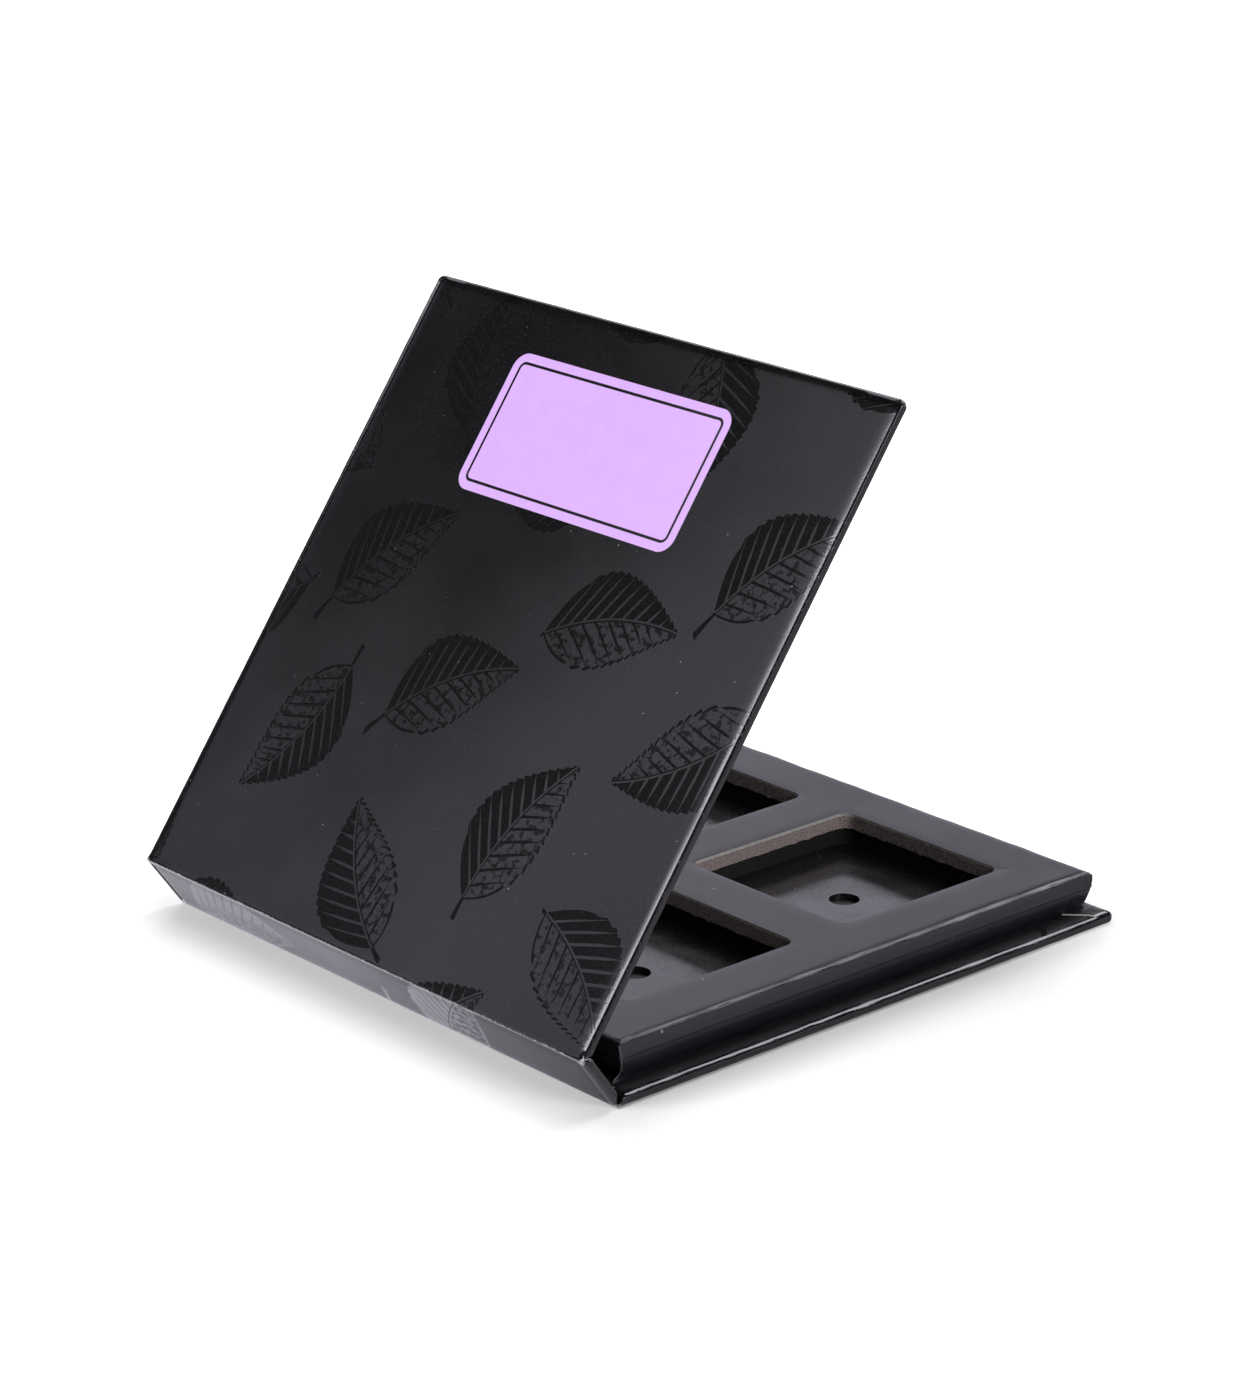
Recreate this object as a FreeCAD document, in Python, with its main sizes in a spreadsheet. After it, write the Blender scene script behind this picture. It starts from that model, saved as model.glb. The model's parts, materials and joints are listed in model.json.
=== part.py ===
"""Magnetic makeup palette: a book-style board case with a tray of four square wells.

The case stands on its base panel, +Z up, with the origin under the middle of the base.
The fold between base and spine lies at the back, along X. The lid stands half open.

Each panel is drawn flat, in panel measure: X along the fold, Y away from the fold
and Z from the outer face inward. Its placement then turns it to where it stands.
"""
import FreeCAD
import Part
import Sketcher
import math
import os
import re

# Driving sizes, in millimetres and degrees.
SIZES = {
    # Case panels
    "case_width": 85.0,
    "case_depth": 85.0,
    "board_thickness": 1.2,
    "paper_thickness": 0.15,
    "paper_edge_radius": 0.3,
    "panel_corner_radius": 1.0,
    "turn_in_width": 12.0,
    "liner_margin": 2.5,
    # Folds
    "fold_spacing": 8.8,
    "fold_radius": 0.3,
    "fold_to_board": 1.7,
    "fold_clearance": 0.15,
    "spine_lean": 36.0,
    "lid_rise": 54.0,
    # Tray
    "tray_margin": 2.3,
    "tray_wall_lean": 1.4,
    "tray_edge_radius": 0.3,
    "top_board_thickness": 2.0,
    "spacer_thickness": 2.45,
    "spacer_setback": 0.6,
    "magnet_sheet_thickness": 0.85,
    # Wells, two by two, with a rim all round them and a bar between them
    "rim_width": 8.2,
    "bar_width": 8.0,
    "well_corner_radius": 1.75,
    "push_hole_diameter": 4.0,
    # Closure magnets, in the middle of the front rim
    "closure_diameter": 6.0,
    "closure_thickness": 1.0,
    "closure_fit": 0.1,
    # Cuts run past the face they leave by this much
    "overrun": 1.0,
}

# Sizes worked out in the sheet from those above.
WORKED_OUT = {
    "half_width": "case_width / 2",
    "half_depth": "case_depth / 2",
    "board_top": "paper_thickness + board_thickness",
    "panel_thickness": "board_top + paper_thickness",
    "sheet_start": "fold_radius + fold_clearance",
    "window_half_width": "half_width - turn_in_width",
    "window_far": "case_depth - turn_in_width",
    "liner_half_width": "half_width - liner_margin",
    "spine_board_end": "fold_spacing - fold_to_board",
    "tray_half_width": "half_width - tray_margin",
    "tray_half_depth": "half_depth - tray_margin",
    "foot_half_width": "tray_half_width - tray_wall_lean",
    "foot_half_depth": "tray_half_depth - tray_wall_lean",
    "magnet_sheet_top": "panel_thickness + magnet_sheet_thickness",
    "spacer_top": "magnet_sheet_top + spacer_thickness",
    "top_board_top": "spacer_top + top_board_thickness",
    "tray_top": "top_board_top + paper_thickness",
    "well_half_width": "(tray_half_width - rim_width - bar_width / 2) / 2",
    "well_half_depth": "(tray_half_depth - rim_width - bar_width / 2) / 2",
    "well_across": "bar_width / 2 + well_half_width",
    "well_along": "bar_width / 2 + well_half_depth",
    "setback_corner_radius": "well_corner_radius + spacer_setback",
    "push_hole_radius": "push_hole_diameter / 2",
    "closure_radius": "closure_diameter / 2",
    "closure_hole_radius": "closure_radius + closure_fit",
    "closure_row": "tray_half_depth - rim_width / 2",
}

# Two points nearer than this are the same point.
SAME_PLACE = 1e-4

# The four wells, as signs of X and Y.
WELL_SIGNS = [("-", "-"), ("", "-"), ("", ""), ("-", "")]

X_AXIS = FreeCAD.Vector(1, 0, 0)
Z_AXIS = FreeCAD.Vector(0, 0, 1)

doc = FreeCAD.newDocument("MagneticPalette")
sheet = doc.addObject("Spreadsheet::Sheet", "Sizes")


def formula(words):
    """Turn a sum written in the sheet's words into an expression that reads the sheet."""
    known = lambda word: word.group() in SIZES or word.group() in WORKED_OUT
    return re.sub("[a-z_]+", lambda word: "Sizes." * known(word) + word.group(), words)


def bind(thing, path, words):
    """Bind one size of an object to a sum of the sheet's words."""
    thing.setExpression(path, formula(words))


def fill_sheet():
    """Write every size and every worked-out size into the sheet, under its own name."""
    rows = [(name, str(value)) for name, value in SIZES.items()]
    rows += [(name, "=" + words) for name, words in WORKED_OUT.items()]
    for row, (name, content) in enumerate(rows, start=1):
        sheet.set("A%d" % row, name)
        sheet.set("B%d" % row, content)
        sheet.setAlias("B%d" % row, name)
    doc.recompute()


def place_on_panel(thing, panel):
    """Stand a piece drawn in panel measure where its panel is, with the palette half open."""
    if panel == "base":
        thing.Placement = FreeCAD.Placement(FreeCAD.Vector(), FreeCAD.Rotation(Z_AXIS, 180))
        bind(thing, "Placement.Base.y", "half_depth")
    elif panel == "spine":
        thing.Placement = FreeCAD.Placement(FreeCAD.Vector(), FreeCAD.Rotation(X_AXIS, 90))
        bind(thing, "Placement.Rotation.Angle", "90 - spine_lean")
        bind(thing, "Placement.Base.y", "half_depth + fold_radius * cos(spine_lean * 1 deg)")
        bind(thing, "Placement.Base.z", "fold_radius - fold_radius * sin(spine_lean * 1 deg)")
    elif panel == "lid":
        thing.Placement = FreeCAD.Placement(FreeCAD.Vector(), FreeCAD.Rotation(X_AXIS, 90))
        bind(thing, "Placement.Rotation.Angle", "180 - lid_rise")
        bind(
            thing,
            "Placement.Base.y",
            "half_depth + fold_spacing * sin(spine_lean * 1 deg) + fold_radius * sin(lid_rise * 1 deg)",
        )
        bind(
            thing,
            "Placement.Base.z",
            "fold_radius + fold_spacing * cos(spine_lean * 1 deg) + fold_radius * cos(lid_rise * 1 deg)",
        )
    return thing


def new_body(label, panel="tray"):
    """A body with a label of its own, placed on its panel."""
    body = doc.addObject("PartDesign::Body", label)
    body.Label = label
    return place_on_panel(body, panel)


def new_sketch(body, name, plane="XY_Plane", height="0"):
    """A sketch on one of the body's own origin planes, lifted off it by a height."""
    sketch = body.newObject("Sketcher::SketchObject", name)
    origin_planes = {feature.Role: feature for feature in body.Origin.OriginFeatures}
    sketch.AttachmentSupport = (origin_planes[plane], [""])
    sketch.MapMode = "FlatFace"
    bind(sketch, "AttachmentOffset.Base.z", height)
    return sketch


def pin_point(sketch, line, end, kind, words):
    """Hold one coordinate of a point of the sketch, DistanceX or DistanceY, at a formula."""
    here = sketch.getPoint(line, end)
    value = here.x if kind == "DistanceX" else here.y
    number = sketch.addConstraint(Sketcher.Constraint(kind, line, end, value))
    bind(sketch, "Constraints[%d]" % number, words)


def draw_outline(sketch, points):
    """A closed outline of straight sides, each corner bound to its two formulas."""
    first = sketch.GeometryCount
    count = len(points)
    turns = [2 * math.pi * index / count for index in range(count + 1)]
    ring = [FreeCAD.Vector(math.cos(turn), math.sin(turn), 0) for turn in turns]
    for index in range(count):
        sketch.addGeometry(Part.LineSegment(ring[index], ring[index + 1]), False)
    for index in range(count):
        after = first + (index + 1) % count
        sketch.addConstraint(Sketcher.Constraint("Coincident", first + index, 2, after, 1))
    for index, (across, along) in enumerate(points):
        pin_point(sketch, first + index, 1, "DistanceX", across)
        pin_point(sketch, first + index, 1, "DistanceY", along)


def draw_rectangle(sketch, left, right, low, high):
    """A rectangle between four formulas."""
    draw_outline(sketch, [(left, low), (right, low), (right, high), (left, high)])


def draw_circle(sketch, across, along, radius):
    """A circle about a bound centre, of a bound radius."""
    circle = sketch.addGeometry(Part.Circle(), False)
    pin_point(sketch, circle, 3, "DistanceX", across)
    pin_point(sketch, circle, 3, "DistanceY", along)
    number = sketch.addConstraint(Sketcher.Constraint("Radius", circle, 1.0))
    bind(sketch, "Constraints[%d]" % number, radius)


def add_pad(body, sketch, length, name):
    """Raise a sketch into a solid, towards +Z of its plane."""
    pad = body.newObject("PartDesign::Pad", name)
    pad.Profile = sketch
    bind(pad, "Length", length)
    return pad


def add_pocket(body, sketch, depth, name, upward=False):
    """Cut a sketch into the solid, downward from its plane unless told otherwise."""
    pocket = body.newObject("PartDesign::Pocket", name)
    pocket.Profile = sketch
    pocket.Reversed = upward
    bind(pocket, "Length", depth)
    return pocket


def add_fillet(body, feature, chosen, radius, name):
    """Round the edges of a feature for which chosen(start, end) holds."""
    doc.recompute()
    names = []
    for number, edge in enumerate(feature.Shape.Edges, start=1):
        if chosen(edge.Vertexes[0].Point, edge.Vertexes[-1].Point):
            names.append("Edge%d" % number)
    fillet = body.newObject("PartDesign::Fillet", name)
    fillet.Base = (feature, names)
    bind(fillet, "Radius", radius)
    return fillet


def upright(start, end):
    """Is this edge parallel to Z?"""
    return abs(start.x - end.x) < SAME_PLACE and abs(start.y - end.y) < SAME_PLACE


def level(start, end):
    """Does this edge lie flat?"""
    return abs(start.z - end.z) < SAME_PLACE


def cut_away(label, base, tools):
    """A piece made by cutting one or more solids away from another."""
    tool = tools[0]
    if len(tools) > 1:
        tool = doc.addObject("Part::MultiFuse", label + "_tools")
        tool.Shapes = tools
    cut = doc.addObject("Part::Cut", label)
    cut.Label = label
    cut.Base = base
    cut.Tool = tool
    return cut


def panel_slab(label, panel, start, inset, low, height):
    """A flat panel from the fold side to the free edge, inset all round, with round free corners."""
    body = new_body(label, panel)
    sketch = new_sketch(body, label + "_outline", height=low)
    side = "half_width - (%s)" % inset
    draw_rectangle(sketch, "-(%s)" % side, side, start, "case_depth - (%s)" % inset)
    slab = add_pad(body, sketch, height, label + "_slab")
    doc.recompute()
    fold_side = slab.Shape.BoundBox.YMin + SAME_PLACE
    free_corner = lambda a, b: upright(a, b) and a.y > fold_side
    plan_radius = "panel_corner_radius - (%s)" % inset
    return body, add_fillet(body, slab, free_corner, plan_radius, label + "_corners")


def panel_board(label, panel):
    """The board of the base or of the lid, die-cut, so its edges stay sharp."""
    low = "paper_thickness"
    return panel_slab(label, panel, "fold_to_board", low, low, "board_thickness")[0]


def turn_in_window(label, panel):
    """The opening that the paper's turn-ins leave on the inner face of a panel."""
    body = new_body(label, panel)
    sketch = new_sketch(body, label + "_outline", height="board_top")
    draw_rectangle(
        sketch, "-window_half_width", "window_half_width", "-overrun", "window_far"
    )
    add_pad(body, sketch, "paper_thickness + overrun", label + "_cut")
    return body


def fold_groove(label, panel):
    """The room beside a fold, where the paper runs on without its board."""
    body = new_body(label, panel)
    sketch = new_sketch(body, label + "_outline", height="paper_thickness")
    draw_rectangle(
        sketch, "-half_width - overrun", "half_width + overrun", "-overrun", "fold_to_board"
    )
    add_pad(body, sketch, "panel_thickness + overrun", label + "_cut")
    return body


def push_holes(label):
    """Four round cutters, one under the middle of each well, through the whole base."""
    body = new_body(label)
    sketch = new_sketch(body, label + "_circles", height="-overrun")
    for across, along in WELL_SIGNS:
        draw_circle(sketch, across + "well_across", along + "well_along", "push_hole_radius")
    add_pad(body, sketch, "magnet_sheet_top + 2 * overrun", label + "_cut")
    return body


def closure_discs(label, panel, row, low, height, radius):
    """A pair of discs, in a row near the free edge: the magnets, or the holes that take them."""
    body = new_body(label, panel)
    sketch = new_sketch(body, label + "_circles", height=low)
    for sign in ("-", ""):
        draw_circle(sketch, sign + "well_across", row, radius)
    add_pad(body, sketch, height, label + "_disc")
    return body


def closure_magnet(label, panel, side, row, low):
    """One round closure magnet."""
    body = new_body(label, panel)
    sketch = new_sketch(body, label + "_circle", height=low)
    draw_circle(sketch, side + "well_across", row, "closure_radius")
    add_pad(body, sketch, "closure_thickness", label + "_disc")
    return body


def panel_wrap(panel, blank, more_cuts):
    """The printed paper round a panel: outer face, three edges and their turn-ins."""
    label = panel + "_wrap"
    block, slab = panel_slab(label + "_block", panel, "sheet_start", "0", "0", "panel_thickness")
    doc.recompute()
    fold_side = slab.Shape.BoundBox.YMin + SAME_PLACE
    free_edge = lambda a, b: level(a, b) and max(a.y, b.y) > fold_side
    add_fillet(block, slab, free_edge, "paper_edge_radius", label + "_edges")
    window = turn_in_window(label + "_window", panel)
    groove = fold_groove(label + "_groove", panel)
    return cut_away(label, block, [blank, window, groove] + more_cuts)


def groove_leg(body, label, half_length, top):
    """The liner's end at a fold: down the board's edge and along the paper in the groove."""
    sketch = new_sketch(body, label + "_leg_profile", "YZ_Plane", "-(%s)" % half_length)
    draw_outline(
        sketch,
        [
            ("sheet_start", "paper_thickness"),
            ("fold_to_board", "paper_thickness"),
            ("fold_to_board", top),
            ("fold_to_board - paper_thickness", top),
            ("fold_to_board - paper_thickness", "2 * paper_thickness"),
            ("sheet_start", "2 * paper_thickness"),
        ],
    )
    return add_pad(body, sketch, "2 * (%s)" % half_length, label + "_leg")


def base_liner():
    """The lining of the base, between the turn-ins and under the tray."""
    body = new_body("base_liner_sheet", "base")
    sketch = new_sketch(body, "base_liner_outline", height="board_top")
    draw_rectangle(
        sketch, "-window_half_width", "window_half_width", "fold_to_board", "window_far"
    )
    add_pad(body, sketch, "paper_thickness", "base_liner_pad")
    groove_leg(body, "base_liner", "window_half_width", "panel_thickness")
    return body


def lid_liner():
    """The lining of the lid: it lies over the turn-ins and dips between them to the board."""
    body = new_body("lid_liner", "lid")
    outline = new_sketch(body, "lid_liner_outline", height="board_top")
    far = "case_depth - liner_margin"
    draw_rectangle(outline, "-liner_half_width", "liner_half_width", "fold_to_board", far)
    add_pad(body, outline, "2 * paper_thickness", "lid_liner_pad")
    top = "panel_thickness + paper_thickness"
    groove_leg(body, "lid_liner", "liner_half_width", top)
    dip = new_sketch(body, "lid_liner_dip_outline", height=top)
    dip_half = "window_half_width - paper_thickness"
    draw_rectangle(
        dip, "-(%s)" % dip_half, dip_half, "-overrun", "window_far - paper_thickness"
    )
    add_pocket(body, dip, "paper_thickness", "lid_liner_dip")
    under = new_sketch(body, "lid_liner_turn_in_outline", height="board_top")
    draw_outline(
        under,
        [
            ("-half_width", "fold_to_board"),
            ("-window_half_width", "fold_to_board"),
            ("-window_half_width", "window_far"),
            ("window_half_width", "window_far"),
            ("window_half_width", "fold_to_board"),
            ("half_width", "fold_to_board"),
            ("half_width", "case_depth"),
            ("-half_width", "case_depth"),
        ],
    )
    add_pocket(body, under, "paper_thickness", "lid_liner_over_turn_ins", upward=True)
    return body


def spine_slab(label, inset, low, height):
    """The slab between the two folds."""
    body = new_body(label, "spine")
    sketch = new_sketch(body, label + "_outline", height=low)
    side = "half_width - (%s)" % inset
    draw_rectangle(sketch, "-(%s)" % side, side, "fold_to_board", "spine_board_end")
    return body, add_pad(body, sketch, height, label + "_slab")


def spine_sheet():
    """The paper's face on the spine, running a quarter turn round each fold."""
    body = new_body("spine_sheet", "spine")
    sketch = new_sketch(body, "spine_sheet_profile", "YZ_Plane", "-half_width")
    outer = SIZES["fold_radius"]
    inner = outer - SIZES["paper_thickness"]
    far = SIZES["fold_spacing"]
    point = lambda across, up: FreeCAD.Vector(across, up, 0)
    quarter = lambda centre, radius, begin: Part.ArcOfCircle(
        Part.Circle(point(centre, outer), FreeCAD.Vector(0, 0, 1), radius),
        begin,
        begin + math.pi / 2,
    )
    face = sketch.addGeometry(Part.LineSegment(point(0, 0), point(far, 0)), False)
    far_outer = sketch.addGeometry(quarter(far, outer, -math.pi / 2), False)
    far_cap = sketch.addGeometry(
        Part.LineSegment(point(far + outer, outer), point(far + inner, outer)), False
    )
    far_inner = sketch.addGeometry(quarter(far, inner, -math.pi / 2), False)
    back = sketch.addGeometry(
        Part.LineSegment(point(far, outer - inner), point(0, outer - inner)), False
    )
    near_inner = sketch.addGeometry(quarter(0, inner, math.pi), False)
    near_cap = sketch.addGeometry(Part.LineSegment(point(-inner, outer), point(-outer, outer)), False)
    near_outer = sketch.addGeometry(quarter(0, outer, math.pi), False)
    joins = [
        (face, 2, far_outer, 1),
        (far_outer, 2, far_cap, 1),
        (far_cap, 2, far_inner, 2),
        (far_inner, 1, back, 1),
        (back, 2, near_inner, 2),
        (near_inner, 1, near_cap, 1),
        (near_cap, 2, near_outer, 1),
        (near_outer, 2, face, 1),
        (far_outer, 3, far_inner, 3),
        (near_outer, 3, near_inner, 3),
    ]
    for join in joins:
        sketch.addConstraint(Sketcher.Constraint("Coincident", *join))
    places = [
        ("DistanceX", face, 1, "0"),
        ("DistanceY", face, 1, "0"),
        ("DistanceX", face, 2, "fold_spacing"),
        ("DistanceY", face, 2, "0"),
        ("DistanceX", back, 1, "fold_spacing"),
        ("DistanceY", back, 1, "paper_thickness"),
        ("DistanceX", back, 2, "0"),
        ("DistanceY", back, 2, "paper_thickness"),
        ("DistanceX", far_outer, 3, "fold_spacing"),
        ("DistanceY", far_outer, 3, "fold_radius"),
        ("DistanceX", near_outer, 3, "0"),
        ("DistanceY", near_outer, 3, "fold_radius"),
        ("DistanceY", far_cap, 1, "fold_radius"),
        ("DistanceY", far_cap, 2, "fold_radius"),
        ("DistanceY", near_cap, 1, "fold_radius"),
        ("DistanceY", near_cap, 2, "fold_radius"),
    ]
    for kind, line, end, words in places:
        pin_point(sketch, line, end, kind, words)
    add_pad(body, sketch, "case_width", "spine_sheet_pad")
    return body


def spine_wrap(blank):
    """The printed paper on the spine: its face, both folds and the turn-ins at the ends."""
    block, slab = spine_slab("spine_wrap_block", "0", "0", "panel_thickness")
    doc.recompute()
    end = slab.Shape.BoundBox.XMax - SAME_PLACE
    at_end = lambda a, b: level(a, b) and min(abs(a.x), abs(b.x)) > end
    add_fillet(block, slab, at_end, "paper_edge_radius", "spine_wrap_edges")
    window = new_body("spine_wrap_window", "spine")
    sketch = new_sketch(window, "spine_wrap_window_outline", height="board_top")
    draw_rectangle(
        sketch, "-window_half_width", "window_half_width", "-overrun", "fold_spacing + overrun"
    )
    add_pad(window, sketch, "paper_thickness + overrun", "spine_wrap_window_cut")
    sleeve = cut_away("spine_wrap_sleeve", block, [blank, window])
    wrap = doc.addObject("Part::Fuse", "spine_wrap")
    wrap.Label = "spine_wrap"
    wrap.Base = sleeve
    wrap.Tool = spine_sheet()
    wrap.Refine = True
    return wrap


def spine_liner():
    """The lining of the spine: over its board and turn-ins, and down into both grooves."""
    body = new_body("spine_liner", "spine")
    profile = new_sketch(body, "spine_liner_profile", "YZ_Plane", "-liner_half_width")
    near = "fold_to_board"
    far = "spine_board_end"
    top = "panel_thickness + paper_thickness"
    foot = "2 * paper_thickness"
    draw_outline(
        profile,
        [
            ("sheet_start", "paper_thickness"),
            (near, "paper_thickness"),
            (near, "board_top"),
            (far, "board_top"),
            (far, "paper_thickness"),
            ("fold_spacing - sheet_start", "paper_thickness"),
            ("fold_spacing - sheet_start", foot),
            (far + " + paper_thickness", foot),
            (far + " + paper_thickness", top),
            (near + " - paper_thickness", top),
            (near + " - paper_thickness", foot),
            ("sheet_start", foot),
        ],
    )
    add_pad(body, profile, "2 * liner_half_width", "spine_liner_pad")
    dip = new_sketch(body, "spine_liner_dip_outline", height=top)
    dip_half = "window_half_width - paper_thickness"
    draw_rectangle(dip, "-(%s)" % dip_half, dip_half, "-overrun", "fold_spacing + overrun")
    add_pocket(body, dip, "paper_thickness", "spine_liner_dip")
    under = new_sketch(body, "spine_liner_turn_in_outline", height="board_top")
    for left, right in (("-half_width", "-window_half_width"), ("window_half_width", "half_width")):
        draw_rectangle(under, left, right, near, far)
    add_pocket(body, under, "paper_thickness", "spine_liner_over_turn_ins", upward=True)
    return body


def draw_wells(sketch, setback):
    """The outlines of the four wells, their sides set back by this much from the windows."""
    half_width = "(well_half_width + %s)" % setback
    half_depth = "(well_half_depth + %s)" % setback
    for across, along in WELL_SIGNS:
        draw_rectangle(
            sketch,
            "%swell_across - %s" % (across, half_width),
            "%swell_across + %s" % (across, half_width),
            "%swell_along - %s" % (along, half_depth),
            "%swell_along + %s" % (along, half_depth),
        )


def framed_slab(label, half_width, half_depth, low, height, setback, corner_radius):
    """A flat frame of the tray with its four windows, round at their corners."""
    body = new_body(label)
    sketch = new_sketch(body, label + "_outline", height=low)
    draw_rectangle(sketch, "-(%s)" % half_width, half_width, "-(%s)" % half_depth, half_depth)
    slab = add_pad(body, sketch, height, label + "_slab")
    doc.recompute()
    side = slab.Shape.BoundBox.XMax - SAME_PLACE
    wells = new_sketch(body, label + "_windows", height="(%s) + (%s)" % (low, height))
    draw_wells(wells, setback)
    windows = add_pocket(body, wells, height, label + "_window_cut")
    window_corner = lambda a, b: upright(a, b) and abs(a.x) < side
    add_fillet(body, windows, window_corner, corner_radius, label + "_window_corners")
    return body


def magnet_sheet(holes):
    """The flexible magnetic sheet that is the floor of all four wells."""
    blank = new_body("magnet_sheet_blank")
    sketch = new_sketch(blank, "magnet_sheet_outline", height="panel_thickness")
    half_width = "foot_half_width - paper_thickness"
    half_depth = "foot_half_depth - paper_thickness"
    draw_rectangle(sketch, "-(%s)" % half_width, half_width, "-(%s)" % half_depth, half_depth)
    add_pad(blank, sketch, "magnet_sheet_thickness", "magnet_sheet_slab")
    return cut_away("magnet_sheet", blank, [holes])


def tray_form(label, inset, top):
    """The tray's closed outer form: upright beside its top board, leaning in down to its foot."""
    body = new_body(label)
    levels = {"foot": "panel_thickness", "shoulder": "spacer_top"}
    sketches = {}
    for part, height in levels.items():
        sketches[part] = new_sketch(body, "%s_%s" % (label, part), height=height)
        start = "foot" if part == "foot" else "tray"
        across = "%s_half_width - (%s)" % (start, inset)
        along = "%s_half_depth - (%s)" % (start, inset)
        draw_rectangle(sketches[part], "-(%s)" % across, across, "-(%s)" % along, along)
    skirt = body.newObject("PartDesign::AdditiveLoft", label + "_skirt")
    skirt.Profile = sketches["foot"]
    skirt.Sections = [sketches["shoulder"]]
    skirt.Ruled = True
    brim = new_sketch(body, label + "_brim", height="spacer_top")
    across = "tray_half_width - (%s)" % inset
    along = "tray_half_depth - (%s)" % inset
    draw_rectangle(brim, "-(%s)" % across, across, "-(%s)" % along, along)
    head = add_pad(body, brim, "(%s) - spacer_top" % top, label + "_head")
    return body, head


def tray_wrap():
    """The black paper of the tray: its top with four windows, and its leaning sides."""
    outside, head = tray_form("tray_wrap_outside", "0", "tray_top")
    doc.recompute()
    top = head.Shape.BoundBox.ZMax - SAME_PLACE
    top_edge = lambda a, b: min(a.z, b.z) > top
    add_fillet(outside, head, top_edge, "tray_edge_radius", "tray_wrap_top_edge")
    inside, _ = tray_form("tray_wrap_inside", "paper_thickness", "top_board_top")
    windows = new_body("tray_wrap_windows")
    sketch = new_sketch(windows, "tray_wrap_window_outlines", height="spacer_top")
    draw_wells(sketch, "0")
    height = "top_board_thickness + paper_thickness + overrun"
    cutters = add_pad(windows, sketch, height, "tray_wrap_window_cut")
    add_fillet(windows, cutters, upright, "well_corner_radius", "tray_wrap_window_corners")
    return cut_away("tray_wrap", outside, [inside, windows])


def base_pieces():
    """Everything that stays still: the base panel and the tray on it."""
    holes = push_holes("push_holes")
    blank = panel_board("base_blank", "base")
    pieces = [cut_away("base_board", blank, [holes])]
    pieces.append(panel_wrap("base", blank, [holes]))
    pieces.append(cut_away("base_liner", base_liner(), [holes]))
    pieces.append(magnet_sheet(holes))
    pieces.append(
        framed_slab(
            "spacer_frame", "foot_half_width - paper_thickness", "foot_half_depth - paper_thickness",
            "magnet_sheet_top", "spacer_thickness", "spacer_setback", "setback_corner_radius",
        )
    )
    frame = framed_slab(
        "top_board_frame", "tray_half_width - paper_thickness", "tray_half_depth - paper_thickness",
        "spacer_top", "top_board_thickness", "0", "well_corner_radius",
    )
    seats = closure_discs(
        "tray_magnet_seats", "tray", "-closure_row", "top_board_top - closure_thickness",
        "closure_thickness + overrun", "closure_hole_radius",
    )
    pieces.append(cut_away("tray_top_board", frame, [seats]))
    pieces.append(tray_wrap())
    for name, side in (("left", "-"), ("right", "")):
        pieces.append(
            closure_magnet(
                "tray_magnet_" + name, "tray", side, "-closure_row", "top_board_top - closure_thickness"
            )
        )
    return pieces


def spine_pieces():
    """The narrow panel between the two folds."""
    board, _ = spine_slab("spine_board", "paper_thickness", "paper_thickness", "board_thickness")
    return [board, spine_wrap(board), spine_liner()]


def lid_pieces():
    """The lid panel, with its two magnets in holes through the board."""
    blank = panel_board("lid_blank", "lid")
    row = "half_depth + closure_row"
    holes = closure_discs(
        "lid_magnet_holes", "lid", row, "0", "board_top + overrun", "closure_hole_radius"
    )
    pieces = [cut_away("lid_board", blank, [holes]), panel_wrap("lid", blank, []), lid_liner()]
    for name, side in (("left", "-"), ("right", "")):
        pieces.append(
            closure_magnet("lid_magnet_" + name, "lid", side, row, "board_top - closure_thickness")
        )
    return pieces


def check_document(pieces):
    """Stop if any object failed, or any piece is empty or not a valid solid."""
    for thing in doc.Objects:
        if "Invalid" in thing.State or "Error" in thing.State:
            raise RuntimeError("%s did not compute: %s" % (thing.Label, thing.State))
    for piece in pieces:
        if piece.Shape.isNull() or not piece.Shape.isValid() or not piece.Shape.Solids:
            raise RuntimeError("%s is not a valid solid" % piece.Label)


fill_sheet()
all_pieces = base_pieces() + spine_pieces() + lid_pieces()
doc.recompute()
check_document(all_pieces)
os.makedirs("parts", exist_ok=True)
for piece in all_pieces:
    piece.Shape.exportStep("parts/%s.step" % piece.Label)
    print(piece.Label, len(piece.Shape.Solids), round(piece.Shape.Volume, 2))
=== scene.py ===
import json
import math

import bmesh
import bpy
from mathutils import Matrix, Vector, noise


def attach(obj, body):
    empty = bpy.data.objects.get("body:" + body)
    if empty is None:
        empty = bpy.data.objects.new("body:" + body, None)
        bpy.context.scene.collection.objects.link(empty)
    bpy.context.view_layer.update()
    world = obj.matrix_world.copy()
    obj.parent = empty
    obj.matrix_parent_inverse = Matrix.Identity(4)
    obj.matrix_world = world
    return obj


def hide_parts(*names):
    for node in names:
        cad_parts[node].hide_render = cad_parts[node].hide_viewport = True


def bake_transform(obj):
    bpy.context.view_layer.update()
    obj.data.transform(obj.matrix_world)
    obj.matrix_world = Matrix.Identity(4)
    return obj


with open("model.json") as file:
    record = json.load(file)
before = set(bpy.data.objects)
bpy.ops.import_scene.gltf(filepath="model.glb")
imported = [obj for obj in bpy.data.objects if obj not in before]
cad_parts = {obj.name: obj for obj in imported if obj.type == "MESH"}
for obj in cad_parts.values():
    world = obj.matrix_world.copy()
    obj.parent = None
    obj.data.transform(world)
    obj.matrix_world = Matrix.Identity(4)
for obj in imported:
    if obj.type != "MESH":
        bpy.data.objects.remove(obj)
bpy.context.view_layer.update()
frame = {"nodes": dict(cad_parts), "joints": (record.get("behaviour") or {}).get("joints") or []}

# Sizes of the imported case, in millimetres. Everything is modelled in millimetres
# and brought to metres when its mesh is written.
MM = 0.001
CASE_WIDTH = 85.0
CASE_DEPTH = 85.0
PANEL_THICKNESS = 1.5
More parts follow.
